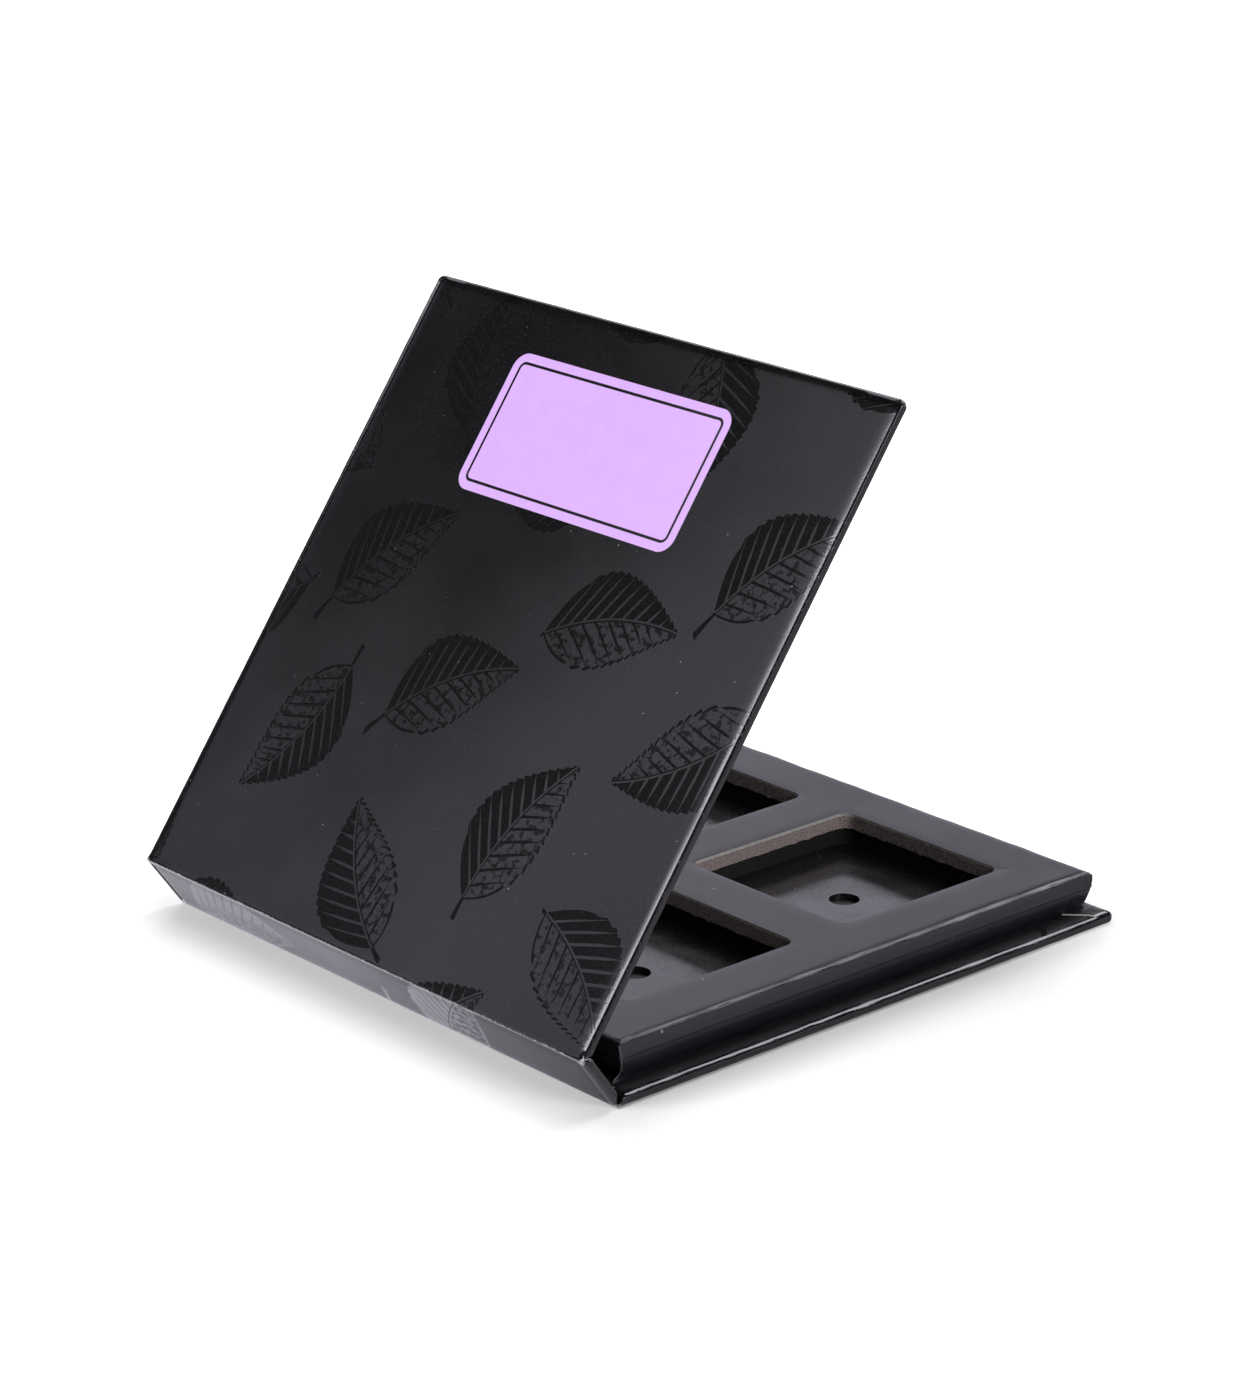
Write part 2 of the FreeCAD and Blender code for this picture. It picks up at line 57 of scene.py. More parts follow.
PAPER = 0.15
TURN_IN = 12.0
FOLD_SPACING = 8.8
FOLD_RADIUS = 0.3
BOARD_START = 1.7
LINER_MARGIN = 2.5
CORNER_RADIUS = 1.0
RIM_RADIUS = 0.5
TRAY_HALF = 40.2
TRAY_FOOT_HALF = 38.8
TRAY_TOP = 6.95
TOP_BOARD_LOW = 4.8
TOP_BOARD_TOP = 6.8
WELL_MIDDLE = 18.0
WELL_HALF = 14.0
# Millimetres to one unit of the sheets' own UV map.
SHEET_SCALE = 100.0
# Stands for the distance to an edge where there is none.
NO_EDGE = 99.0

HALF_WIDTH = CASE_WIDTH / 2
HALF_SPINE = FOLD_SPACING / 2
WINDOW_HALF = HALF_WIDTH - TURN_IN

X_AXIS = Vector((1, 0, 0))
Y_AXIS = Vector((0, 1, 0))
Z_AXIS = Vector((0, 0, 1))

joints = {joint["name"]: Vector(joint["pos_m"]) / MM for joint in frame["joints"]}
BASE_FOLD = joints["spine_fold"]
LID_FOLD = joints["lid_fold"]
SPINE_LEAN = math.atan2(LID_FOLD.y - BASE_FOLD.y, LID_FOLD.z - BASE_FOLD.z)
LID_RISE = math.pi / 2 - SPINE_LEAN
BASE_BEND = math.pi / 2 - SPINE_LEAN
LID_BEND = math.pi - SPINE_LEAN - math.radians(72)

# From panel measure (X along the fold, Y away from it, Z inward) to the standing palette.
TO_FOLD = Matrix.Translation((0, 0, -FOLD_RADIUS))
PANELS = {
    "base": Matrix.Translation(BASE_FOLD) @ Matrix.Rotation(math.pi, 4, "Z") @ TO_FOLD,
    "lid": Matrix.Translation(LID_FOLD)
    @ Matrix.Rotation(math.pi - LID_RISE, 4, "X")
    @ TO_FOLD,
}
PANELS["spine"] = (
    PANELS["lid"] @ TO_FOLD.inverted() @ Matrix.Rotation(-LID_BEND, 4, "X") @ TO_FOLD
)


# ---------------------------------------------------------------- mesh helpers


def cut(bm, point, normal, wanted=None):
    """Cut the mesh along a plane without opening it, or only the faces that are wanted."""
    if wanted is None:
        geometry = bm.verts[:] + bm.edges[:] + bm.faces[:]
    else:
        faces = [face for face in bm.faces if wanted(face.calc_center_median())]
        edges = {edge for face in faces for edge in face.edges}
        verts = {vert for face in faces for vert in face.verts}
        geometry = faces + list(edges) + list(verts)
    bmesh.ops.bisect_plane(bm, geom=geometry, dist=1e-5, plane_co=point, plane_no=normal)


def score(bm, axis, places, wanted=None):
    """Cut the mesh across an axis at each place."""
    for place in places:
        cut(bm, axis * place, axis, wanted)


def spread(first, last, step):
    """Evenly spaced places from first to last, about one step apart."""
    count = max(1, round((last - first) / step))
    return [first + (last - first) * index / count for index in range(count + 1)]


def both_sides(places):
    """The same places on either side of nought."""
    return [sign * place for sign in (-1, 1) for place in places]


def ease(value, low, high):
    """Nought below low, one above high and a smooth rise between them."""
    share = min(1.0, max(0.0, (value - low) / (high - low)))
    return share * share * (3 - 2 * share)


def fall(distance, reach):
    """One at the edge, nought beyond the reach, and steepest at the edge."""
    return max(0.0, 1 - distance / reach) ** 2


def wobble(point, length, seed=0.0):
    """Smooth noise between -1 and 1 whose waves are about this long."""
    return noise.noise(Vector(point) / length + Vector((seed, 2.3 * seed, -seed)))


def move_all(bm, step_for):
    """Move each point by the step that this gives for it, all at once."""
    steps = [(vert, step_for(vert)) for vert in bm.verts]
    for vert, step in steps:
        vert.co += step


def finished(bm, name, materials, sharpest=38):
    """Turn a mesh drawn in millimetres into an object in metres, shaded smooth.

    Open edges, and edges sharper than this angle, stay sharp.
    """
    bmesh.ops.scale(bm, vec=(MM, MM, MM), verts=bm.verts)
    for face in bm.faces:
        face.smooth = True
    for edge in bm.edges:
        edge.smooth = edge.calc_face_angle(math.pi) < math.radians(sharpest)
    mesh = bpy.data.meshes.new(name)
    bm.to_mesh(mesh)
    bm.free()
    thing = bpy.data.objects.new(name, mesh)
    bpy.context.scene.collection.objects.link(thing)
    for material in materials:
        mesh.materials.append(material)
    return thing


def face_towards(thing, spot, way):
    """Flip the sheet if its face nearest this spot doesn't look this way."""
    nearest = min(thing.data.polygons, key=lambda face: (face.center - spot).length)
    if nearest.normal.dot(way) < 0:
        thing.data.flip_normals()


def add_thickness(thing):
    """Give an open sheet its paper's thickness, inward from the face that was modelled."""
    solid = thing.modifiers.new("Thickness", "SOLIDIFY")
    solid.thickness = PAPER * MM
    solid.offset = -1
    solid.use_quality_normals = True
    solid.material_offset_rim = 1


def merged_copy(node):
    """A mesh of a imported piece, in millimetres, with its loose triangles joined."""
    bm = bmesh.new()
    bm.from_mesh(frame["nodes"][node].data)
    bmesh.ops.scale(bm, vec=(1 / MM,) * 3, verts=bm.verts)
    bmesh.ops.remove_doubles(bm, verts=bm.verts, dist=1e-3)
    return bm


# ------------------------------------------------------------ material helpers


class Number:
    """A number that a material works out. Arithmetic on it adds the nodes for it."""

    def __init__(self, recipe, socket):
        self.recipe = recipe
        self.socket = socket

    def __add__(self, other):
        return self.recipe.maths("ADD", self, other)

    def __sub__(self, other):
        return self.recipe.maths("SUBTRACT", self, other)

    def __rsub__(self, other):
        return self.recipe.maths("SUBTRACT", other, self)

    def __mul__(self, other):
        return self.recipe.maths("MULTIPLY", self, other)

    def __truediv__(self, other):
        return self.recipe.maths("DIVIDE", self, other)

    def __mod__(self, other):
        return self.recipe.maths("FLOORED_MODULO", self, other)

    def __lt__(self, other):
        return self.recipe.maths("LESS_THAN", self, other)

    def __abs__(self):
        return self.recipe.maths("ABSOLUTE", self)

    def floor(self):
        return self.recipe.maths("FLOOR", self)

    def fraction(self):
        return self.recipe.maths("FRACT", self)


def largest(first, *others):
    """The largest of a material's numbers, point by point."""
    for other in others:
        first = first.recipe.maths("MAXIMUM", first, other)
    return first


class Recipe:
    """A node material in the making. Its methods add nodes and give back what they yield."""

    def __init__(self, name):
        self.material = bpy.data.materials.new(name)
        self.material.use_nodes = True
        self.nodes = self.material.node_tree.nodes
        self.nodes.clear()
        coordinates = self.add("TexCoord")
        self.object_place = coordinates.outputs["Object"]
        self.uv_place = coordinates.outputs["UV"]

    def put(self, socket, value):
        """Set an input, or link it to what another node yields."""
        if isinstance(value, Number):
            value = value.socket
        if isinstance(value, bpy.types.NodeSocket):
            self.material.node_tree.links.new(value, socket)
        else:
            socket.default_value = value

    def add(self, kind, *values, **choices):
        """A new node with these choices made and its first inputs filled in their order."""
        node = self.nodes.new("ShaderNode" + kind)
        for choice, value in choices.items():
            setattr(node, choice, value)
        for socket, value in zip(node.inputs, values):
            self.put(socket, value)
        return node

    def number(self, socket):
        return Number(self, socket)

    def maths(self, operation, *values):
        return self.number(self.add("Math", *values, operation=operation).outputs[0])

    def vector(self, operation, *values):
        return self.add("VectorMath", *values, operation=operation).outputs["Vector"]

    def length(self, vector):
        node = self.add("VectorMath", vector, operation="LENGTH")
        return self.number(node.outputs["Value"])

    def parts(self, vector):
        return [self.number(socket) for socket in self.add("SeparateXYZ", vector).outputs]

    def joined(self, x, y, z=0.0):
        return self.add("CombineXYZ", x, y, z).outputs[0]

    def step(self, value, low, high, to_low=0.0, to_high=1.0):
        """A smooth change from to_low to to_high while value goes from low to high."""
        levels = (value, low, high, to_low, to_high)
        node = self.add("MapRange", *levels, interpolation_type="SMOOTHSTEP")
        return self.number(node.outputs[0])

    def below(self, value, low, high):
        """One while value is below low, nought above high, smooth between them."""
        return self.step(value, low, high, 1.0, 0.0)


class Finish(Recipe):
    """The finish of one of the case's materials, measured in millimetres."""

    def __init__(self, name, roughness=0.5, index=1.5, tint=(1.0, 1.0, 1.0)):
        super().__init__(name)
        self.shader = self.add("BsdfPrincipled")
        self.add("OutputMaterial", self.shader.outputs[0])
        self.shader.inputs["Roughness"].default_value = roughness
        self.shader.inputs["IOR"].default_value = index
        self.shader.inputs["Specular Tint"].default_value = (*tint, 1.0)
        self.place = self.scaled(self.object_place, 1 / MM)
        self.sheet = self.scaled(self.uv_place, SHEET_SCALE)

    def scaled(self, vector, factor):
        node = self.add("VectorMath", vector, operation="SCALE")
        node.inputs["Scale"].default_value = factor
        return node.outputs[0]

    def grain(self, where, size, detail=2.0, roughness=0.5, stretch=(1, 1, 1)):
        """Cloudy noise, about 0.5 in the mean, with features of this size."""
        node = self.add("TexNoise", self.vector("MULTIPLY", where, stretch))
        node.inputs["Scale"].default_value = 1 / size
        node.inputs["Detail"].default_value = detail
        node.inputs["Roughness"].default_value = roughness
        return self.number(node.outputs[0])

    def specks(self, where, spacing, size, share):
        """Small dots, one in this share of the cells of a scattered grid."""
        cells = self.add("TexVoronoi", where)
        cells.inputs["Scale"].default_value = 1 / spacing
        chance, portion, _ = self.parts(cells.outputs["Color"])
        dot = self.number(cells.outputs["Distance"]) < portion * (size / spacing)
        return (chance < share) * dot

    def mix(self, factor, first, second):
        """One colour over another."""
        node = self.add("Mix", factor, data_type="RGBA")
        for socket, colour in ((node.inputs[6], first), (node.inputs[7], second)):
            self.put(socket, (*colour, 1.0) if isinstance(colour, tuple) else colour)
        return node.outputs[2]

    def bump(self, height, depth, strength=1.0, under=None):
        """The surface's tilt from a height between nought and one, on top of another's."""
        node = self.add("Bump", strength, depth * MM)
        self.put(node.inputs["Height"], height)
        if under is not None:
            self.put(node.inputs["Normal"], under)
        return node.outputs[0]

    def attribute(self, name):
        return self.number(self.add("Attribute", attribute_name=name).outputs["Fac"])

    def set(self, **sockets):
        """Fill the shader's sockets and give back the finished material."""
        for name, value in sockets.items():
            self.put(self.shader.inputs[name.replace("_", " ").title()], value)
        return self.material


# The faint violet of the clear coat on the papers and the film, and the grey of dust on it.
COAT = (0.93, 0.91, 1.0)
DUST = (0.4, 0.4, 0.42)


def leaf_cells(finish):
    """Places about the middle of each cell of a half-drop repeat, each cell turned its own way."""
    cell_width, cell_height, start, seed = 21.0, 27.0, 5.0, 7.0
    across, along, _ = finish.parts(finish.sheet)
    across = across + start
    column = (across / cell_width).floor()
    along = along + column % 2.0 * (cell_height / 2)
    row = (along / cell_height).floor()
    x = across - (column * cell_width + cell_width / 2)
    y = along - (row * cell_height + cell_height / 2)
    random = finish.add("TexWhiteNoise", finish.joined(column, row, seed), noise_dimensions="3D")
    turn = finish.add("VectorRotate", finish.joined(x, y), rotation_type="Z_AXIS")
    angle = finish.number(random.outputs["Value"]) * (2 * math.pi)
    finish.put(turn.inputs["Angle"], angle)
    return finish.parts(turn.outputs[0])


def leaf_print(finish):
    """Gloss varnish motifs: a leaf to a cell, one half full and the other half open."""
    half_length, half_width, fullness, bend = 11.2, 6.3, 0.42, 0.016
    tooth_spacing, tooth_depth = 1.55, 0.42
    rib_spacing, rib_slant, rib_half = 2.05, 0.8, 0.11
    stem_start, stem_end = -14.4, -10.6
    # The leaf bends a little. Its stem is at the low end of p.
    q, p, _ = leaf_cells(finish)
    q = q + p * p * bend
    side = abs(q)
    reach = p / half_length
    bow = (1.0 - reach * reach) * (1.0 - reach * fullness) * half_width
    tooth = ((p - side) / tooth_spacing).fraction() * tooth_depth
    depth_in = bow - tooth - side
    inside = finish.step(depth_in, -0.05, 0.05)
    outline = inside * finish.below(depth_in, 0.28, 0.4)
    rib = abs(((p - side * rib_slant) / rib_spacing).fraction() - 0.5)
    rib = finish.below(rib - finish.step(depth_in, 0.0, 3.0, 0.0, rib_half), -0.02, 0.03)
    midrib = finish.below(side, 0.16, 0.3)
    mottle = finish.grain(finish.sheet, 0.95, detail=3.0, roughness=0.6)
    open_half = largest(outline, rib, midrib, finish.step(mottle, 0.52, 0.56) * 0.85)
    full_half = 1.0 - largest(rib * 0.9, midrib)
    left = finish.step(q, -0.03, 0.03)
    leaf = (left * full_half + (1.0 - left) * open_half) * inside
    stem_half = finish.step(p, -15.0, stem_end, 0.55, 0.28)
    stem = finish.below(side - stem_half, -0.05, 0.05)
    stem = stem * finish.step(p, stem_start, stem_start + 0.2)
    stem = stem * finish.below(p, stem_end - 0.2, stem_end)
    return largest(leaf, stem)


def blank_label(finish):
    """A plain label with a thin line inside its edge: where it lies, and its ink."""
    middle_across, middle_along = 1.4, 73.1
    half_across, half_along, corner = 20.0, 9.6, 2.2
    line_inset, line_half = 1.35, 0.16
    across, along, _ = finish.parts(finish.sheet)
    x = largest(abs(across - middle_across) - (half_across - corner), 0.0)
    y = largest(abs(along - middle_along) - (half_along - corner), 0.0)
    away = finish.length(finish.joined(x, y)) - corner
    label = finish.below(away, -0.04, 0.04)
    line = finish.below(abs(away + line_inset), line_half, line_half + 0.06)
    return label, label - line


def printed_paper():
    """Matte laminated black paper with gloss varnish leaves and a blank lavender label."""
    finish = Finish("printed_paper", tint=COAT)
    across, along, _ = finish.parts(finish.sheet)
    label, ink = blank_label(finish)
    varnish = leaf_print(finish) * (1.0 - label)
    cloud = finish.grain(finish.sheet, 14.0, detail=3.0)
    fibre = finish.grain(finish.sheet, 0.35, detail=4.0, roughness=0.65)
    scuffs = finish.grain(finish.sheet, 0.55, detail=4.0, roughness=0.7)
    haze = finish.grain(finish.sheet, 0.28, detail=3.0, roughness=0.7)
    wear = finish.attribute("wear")
    worn = finish.step(scuffs * 1.3 + (wear - 0.65), 0.52, 0.78)
    dust = finish.specks(finish.sheet, 1.8, 0.1, 0.45)

    black = finish.mix(cloud, (0.0042, 0.0042, 0.0050), (0.0064, 0.0062, 0.0074))
    lavender = finish.mix(
        finish.grain(finish.sheet, 3.0), (0.70, 0.43, 0.93), (0.76, 0.49, 0.97)
    )
    colour = finish.mix(varnish, black, (0.003, 0.003, 0.0034))
    colour = finish.mix(ink, colour, lavender)
    colour = finish.mix(worn * 0.85, colour, (0.34, 0.33, 0.34))
    colour = finish.mix(finish.step(haze, 0.52, 0.74, 0.0, 0.05), colour, (0.5, 0.5, 0.52))
    colour = finish.mix(dust * 0.8, colour, DUST)

    # The matte film is smoother towards the lid's free edge and one side, and where it
    # was pressed over a rim. The varnish on the spine is duller than that on the lid.
    matte_rough = (
        finish.step(cloud, 0.3, 0.7, -0.025, 0.025)
        + finish.step(across, 14.0, -40.0, -0.05, 0.2)
        + finish.step(along, 5.0, 80.0, 0.5, 0.28)
    )
    varnish_rough = finish.step(along, 4.2, 4.8, 0.35, 0.22)
    near_side = finish.step(abs(across), 37.5, 39.5)
    pressed = near_side * finish.step(along, 60.0, 10.0, 0.0, 0.2) + 0.34
    pressed = pressed * finish.step(wear, 0.05, 0.26)
    rough = matte_rough - (matte_rough - varnish_rough) * varnish - pressed
    rough = largest(rough, 0.12) + fibre * 0.05

    level = finish.bump(fibre, 0.006)
    level = finish.bump(varnish, 0.006, under=level)
    level = finish.bump(worn, 0.01, strength=0.6, under=level)
    return finish.set(base_color=colour, roughness=rough, normal=level)


def plain_paper(name, dark, light, roughness, on_sheet):
    """A single-coloured coated paper with its fibre, scuffs and dust."""
    finish = Finish(name, index=1.43, tint=COAT)
    where = finish.sheet if on_sheet else finish.place
    cloud = finish.grain(where, 11.0, detail=3.0)
    fibre = finish.grain(where, 0.3, detail=4.0, roughness=0.65)
    scuffs = finish.grain(where, 0.6, detail=4.0, roughness=0.7)
    wear = finish.attribute("wear")
    worn = finish.step(wear, 0.4, 1.0) * finish.step(scuffs, 0.5, 0.62)
    dust = finish.specks(where, 2.6, 0.2, 0.6)
    colour = finish.mix(cloud, dark, light)
    colour = finish.mix(worn * 0.8, colour, (0.2, 0.2, 0.21))
    colour = finish.mix(dust * 0.7, colour, DUST)
    rough = finish.step(cloud, 0.3, 0.7, roughness - 0.04, roughness + 0.05)
    rough = rough - finish.step(wear, 0.1, 0.5, 0.0, 0.06)
    level = finish.bump(fibre, 0.004)
    level = finish.bump(finish.grain(where, 5.0), 0.03, strength=0.5, under=level)
    return finish.set(base_color=colour, roughness=rough, normal=level)


def cut_paper():
    """The white core of the paper, seen where it is cut."""
    finish = Finish("cut_paper", roughness=0.8)
    fibre = finish.grain(finish.place, 0.12, detail=3.0, roughness=0.7)
    colour = finish.mix(finish.step(fibre, 0.35, 0.65), (0.5, 0.47, 0.46), (0.8, 0.77, 0.76))
    return finish.set(base_color=colour, normal=finish.bump(fibre, 0.01))


def grey_board():
    """Pulp board: pinkish brown, fibrous, in thin layers along its cut edge."""
    finish = Finish("grey_board", roughness=0.9)
    flecks = finish.grain(finish.place, 0.22, detail=4.0, roughness=0.75)
    layers = finish.grain(finish.place, 0.3, stretch=(0.25, 0.25, 1.6))
    bits = finish.specks(finish.place, 0.55, 0.12, 0.3)
    colour = finish.mix(
        finish.step(flecks, 0.3, 0.7), (0.16, 0.125, 0.118), (0.64, 0.54, 0.53)
    )
    colour = finish.mix(finish.step(layers, 0.5, 0.8, 0.0, 0.4), colour, (0.3, 0.245, 0.235))
    colour = finish.mix(bits, colour, (0.6, 0.52, 0.47))
    # A pale band along the top of the cut edge, uneven along its lower side, under the tray paper:
    # a painted highlight where the board's top edge catches the light.
    height = finish.parts(finish.place)[2] + finish.step(flecks, 0.35, 0.65, -0.07, 0.07)
    painted_highlight_lip = finish.step(height, 6.42, 6.52) - finish.step(height, 7.0, 7.2)
    colour = finish.mix(painted_highlight_lip * 0.9, colour, (0.86, 0.83, 0.83))
    level = finish.bump(layers, 0.05, under=finish.bump(flecks, 0.05))
    return finish.set(base_color=colour, normal=level)


def black_board():
    """Black pulp board under the brown one."""
    finish = Finish("black_board", roughness=0.85)
    flecks = finish.grain(finish.place, 0.25, detail=4.0, roughness=0.7)
    layers = finish.grain(finish.place, 0.3, stretch=(0.2, 0.2, 1.6))
    colour = finish.mix(
        finish.step(flecks, 0.3, 0.75), (0.004, 0.0035, 0.0035), (0.018, 0.014, 0.012)
    )
    level = finish.bump(layers, 0.04, under=finish.bump(flecks, 0.04))
    return finish.set(base_color=colour, normal=level)


def magnet_film():
    """Gloss black film on the magnetic sheet, with fine scratches and dust."""
    finish = Finish("magnet_sheet", index=1.8, tint=COAT)
    smear = finish.grain(finish.place, 6.0, detail=3.0)
    speckle = finish.grain(finish.place, 0.14)
    rubbed = finish.grain(finish.place, 0.5, detail=3.0, stretch=(1, 0.15, 1))
    dust = finish.specks(finish.place, 1.7, 0.18, 0.5)
    colour = finish.mix(dust * 0.7, (0.012, 0.0115, 0.0125), (0.3, 0.29, 0.28))
    rough = finish.step(smear, 0.3, 0.7, 0.15, 0.21)
    rough = rough + finish.step(speckle, 0.4, 0.7, -0.05, 0.12)
    level = finish.bump(finish.grain(finish.place, 9.0), 0.05)
    level = finish.bump(rubbed, 0.002, under=level)
    level = finish.bump(finish.grain(finish.place, 0.2, detail=3.0), 0.004, under=level)
    return finish.set(base_color=colour, roughness=rough, normal=level)


def nickel():
    """Bright nickel plate with hairline rubs."""
    finish = Finish("magnet", roughness=0.25)
    rubs = finish.grain(finish.place, 0.3, detail=3.0, stretch=(0.2, 1, 1))
    finish.shader.inputs["Metallic"].default_value = 1.0
    colour = finish.mix(rubs, (0.5, 0.49, 0.46), (0.68, 0.66, 0.62))
    rough = finish.step(rubs, 0.3, 0.7, 0.2, 0.36)
    return finish.set(base_color=colour, roughness=rough, normal=finish.bump(rubs, 0.002))


PRINTED = printed_paper()
TRAY_PAPER = plain_paper("tray_paper", (0.0125, 0.012, 0.018), (0.018, 0.0172, 0.026), 0.31, False)
LINING = plain_paper("lining_paper", (0.011, 0.0108, 0.012), (0.016, 0.0158, 0.018), 0.55, True)
CUT_PAPER = cut_paper()
GREY_BOARD = grey_board()
BLACK_BOARD = black_board()
MAGNET_FILM = magnet_film()
NICKEL = nickel()


# -------------------------------------------------------------- the outer paper

# Heights in a panel, up from its outer face: where that face ends, where the turned-in
# paper starts to roll over the rim, and where both lie in the crease.
OUTER_FACE = 0.02
EDGE_LOW, EDGE_HIGH = 0.65, 0.85
CREASE_LOW, CREASE_TOP = 0.1, 0.32
# The mitred corners lie beyond this place. The step of each runs this far beside its
# diagonal, and is this wide to either side.
MITRES_FROM = 60.0
MITRE_SHIFT = 2.6
MITRE_HALF = 0.02


class Run:
    """How far a flat sheet of one panel and half the spine reaches from their fold."""

    def __init__(self, panel, bend):
        self.panel = panel
        self.mirror = panel == "base"
        self.way = -1 if self.mirror else 1
        self.bend = bend
        self.half_arc = FOLD_RADIUS * bend / 2
        self.near_end = -self.half_arc - HALF_SPINE
        self.free_edge = self.half_arc + CASE_DEPTH

    def fold_over(self, bm):
        """Bend the flat sheet round its fold, so that the spine half turns up, and place it.

        The stretch within half_arc of the fold becomes the rounded crease.
        """
        for vert in bm.verts:
            x, y, z = vert.co
            share = min(1.0, max(0.0, (self.half_arc - y) / (2 * self.half_arc)))
            beyond = y - self.half_arc if share == 0 else min(0.0, y + self.half_arc)
            arm = Vector((0, beyond, z - FOLD_RADIUS))
            arm.rotate(Matrix.Rotation(-self.bend * share, 3, "X"))
            vert.co = Vector((x, arm.y, arm.z + FOLD_RADIUS))
        bmesh.ops.transform(bm, matrix=PANELS[self.panel], verts=bm.verts)


LID_RUN = Run("lid", LID_BEND)
BASE_RUN = Run("base", BASE_BEND)


def unrolled(co, free_edge):
    """Place of a point of the folded sheet if its turn-ins were laid flat."""
    x, y, z = co
    side = HALF_WIDTH - abs(x)
    end = free_edge - y
    if z > PANEL_THICKNESS / 2:
        if side < end:
            return math.copysign(HALF_WIDTH + z + side, x), y
        return x, free_edge + z + end
    if z > OUTER_FACE and side < end:
        return math.copysign(HALF_WIDTH + z, x), y
    if z > OUTER_FACE and end < 1:
        return x, free_edge + z
    return x, y


def mark_wear(bm, run):
    """Mark how rubbed each point is: most at the crease, then the corners and the rims."""
    layer = bm.verts.layers.float.new("wear")
    for vert in bm.verts:
        x, y, z = vert.co
        side = HALF_WIDTH - abs(x)
        end = run.free_edge - y
        ridge = math.hypot(min(side, end), min(z, PANEL_THICKNESS - z))
        rim = max(0.46 * (1 - ease(ridge, 0.15, 0.55)), 0.28 * (1 - ease(ridge, 0.4, 1.9)))
        crease = 1 - ease(abs(y), run.half_arc * 0.4, run.half_arc + 0.3)
        tip = 1 - ease(math.hypot(side, end), 0.5, 1.3)
        fold_tip = 1 - ease(math.hypot(side, y), 0.4, 0.9)
        vert[layer] = max(rim, 0.57 * crease, 0.6 * tip, 0.9 * fold_tip)


def edge_drop(x, y, free_edge, flat_panel):
    """How far the outer face rounds off inward towards the edges of the boards."""
    side = HALF_WIDTH - abs(x)
    end = free_edge - y
    if flat_panel:
        panel = 0.12 * (1 - ease(side, 0.0, 2.0)) + 0.07 * (1 - ease(end, 0.0, 1.6))
    else:
        panel = 0.32 * fall(side, 2.3) + 0.17 * fall(side, 10.0) + 0.2 * fall(end, 2.0)
    spine = 0.36 * (1 - ease(side, 0.0, 1.7))
    share = ease(y, -1.0, 1.0)
    return (spine + (panel - spine) * share) * ease(abs(y), 0.15, 1.2)


def round_off(bm, edges, radius, segments):
    """Bevel these edges to a round of this radius."""
    bmesh.ops.bevel(
        bm,
        geom=edges,
        offset=radius,
        segments=segments,
        profile=0.5,
        affect="EDGES",
        material=-1,
    )


def rounded_slab(run):
    """A panel and half the spine as one slab, with round free corners and rolled rims."""
    bm = bmesh.new()
    bmesh.ops.create_cube(bm, size=1)
    size = (CASE_WIDTH, run.free_edge - run.near_end, PANEL_THICKNESS)
    bmesh.ops.scale(bm, vec=size, verts=bm.verts)
    middle = Vector((0, (run.free_edge + run.near_end) / 2, PANEL_THICKNESS / 2))
    bmesh.ops.translate(bm, vec=middle, verts=bm.verts)
    upright = [
        edge
        for edge in bm.edges
        if all(vert.co.y > run.free_edge - 1e-4 for vert in edge.verts)
        and abs(edge.verts[0].co.z - edge.verts[1].co.z) > 1
    ]
    round_off(bm, upright, CORNER_RADIUS, 7)
    rims = [
        edge
        for edge in bm.edges
        if abs(edge.verts[0].co.z - edge.verts[1].co.z) < 1e-4
        and max(vert.co.y for vert in edge.verts) > run.near_end + 1e-4
    ]
    round_off(bm, rims, RIM_RADIUS, 4)
    return bm


def score_paper(bm, run):
    """The grid that the folds, waves and crinkles need, finer at the rims and the fold."""
    pitch, margin = 0.95, 3.9
    insets = [0.55, 0.8, 1.15, 1.6, 2.2, 3.0]
    score(bm, X_AXIS, spread(-HALF_WIDTH + margin, HALF_WIDTH - margin, pitch))
    score(bm, X_AXIS, both_sides([HALF_WIDTH - inset for inset in insets] + [WINDOW_HALF]))
    score(bm, Y_AXIS, spread(-run.half_arc, run.half_arc, 0.06))
    score(bm, Y_AXIS, both_sides([0.4, 0.6, 0.85, 1.1, 1.35, 1.6, 1.85, 2.2, 2.9]))
    score(bm, Y_AXIS, [run.near_end + 0.8] + spread(3.6, run.free_edge - margin, pitch))
    score(bm, Y_AXIS, [run.free_edge - inset for inset in insets + [TURN_IN]])
    score(bm, Z_AXIS, [EDGE_LOW, EDGE_HIGH])


def cut_mitres(bm, flap_line):
    """Cut each mitred corner beside its diagonal, and show the paper's core on the step."""

    def turned_in(centre):
        return centre.z > PANEL_THICKNESS - 0.01

    for sign in (-1, 1):
        across = Vector((-sign, 1, 0)).normalized()
        for shift in (-MITRE_HALF, MITRE_HALF):
            cut(bm, Vector((0, flap_line, 0)) + across * shift, across, turned_in)
    for face in bm.faces:
        centre = face.calc_center_median()
        aside = (centre.y - abs(centre.x) - flap_line) / math.sqrt(2)
        if turned_in(centre) and centre.y > MITRES_FROM and abs(aside) < MITRE_HALF:
            face.material_index = 1


def open_inside(bm, run):
    """Take away the slab's inner face between the turn-ins, and its end on the spine."""
    unwanted = []
    for face in bm.faces:
        centre = face.calc_center_median()
        between = (
            centre.z > PANEL_THICKNESS - 1e-3
            and abs(centre.x) < WINDOW_HALF
            and centre.y < run.free_edge - TURN_IN
        )
        if between or centre.y < run.near_end + 1e-4:
            unwanted.append(face)
    bmesh.ops.delete(bm, geom=unwanted, context="FACES")


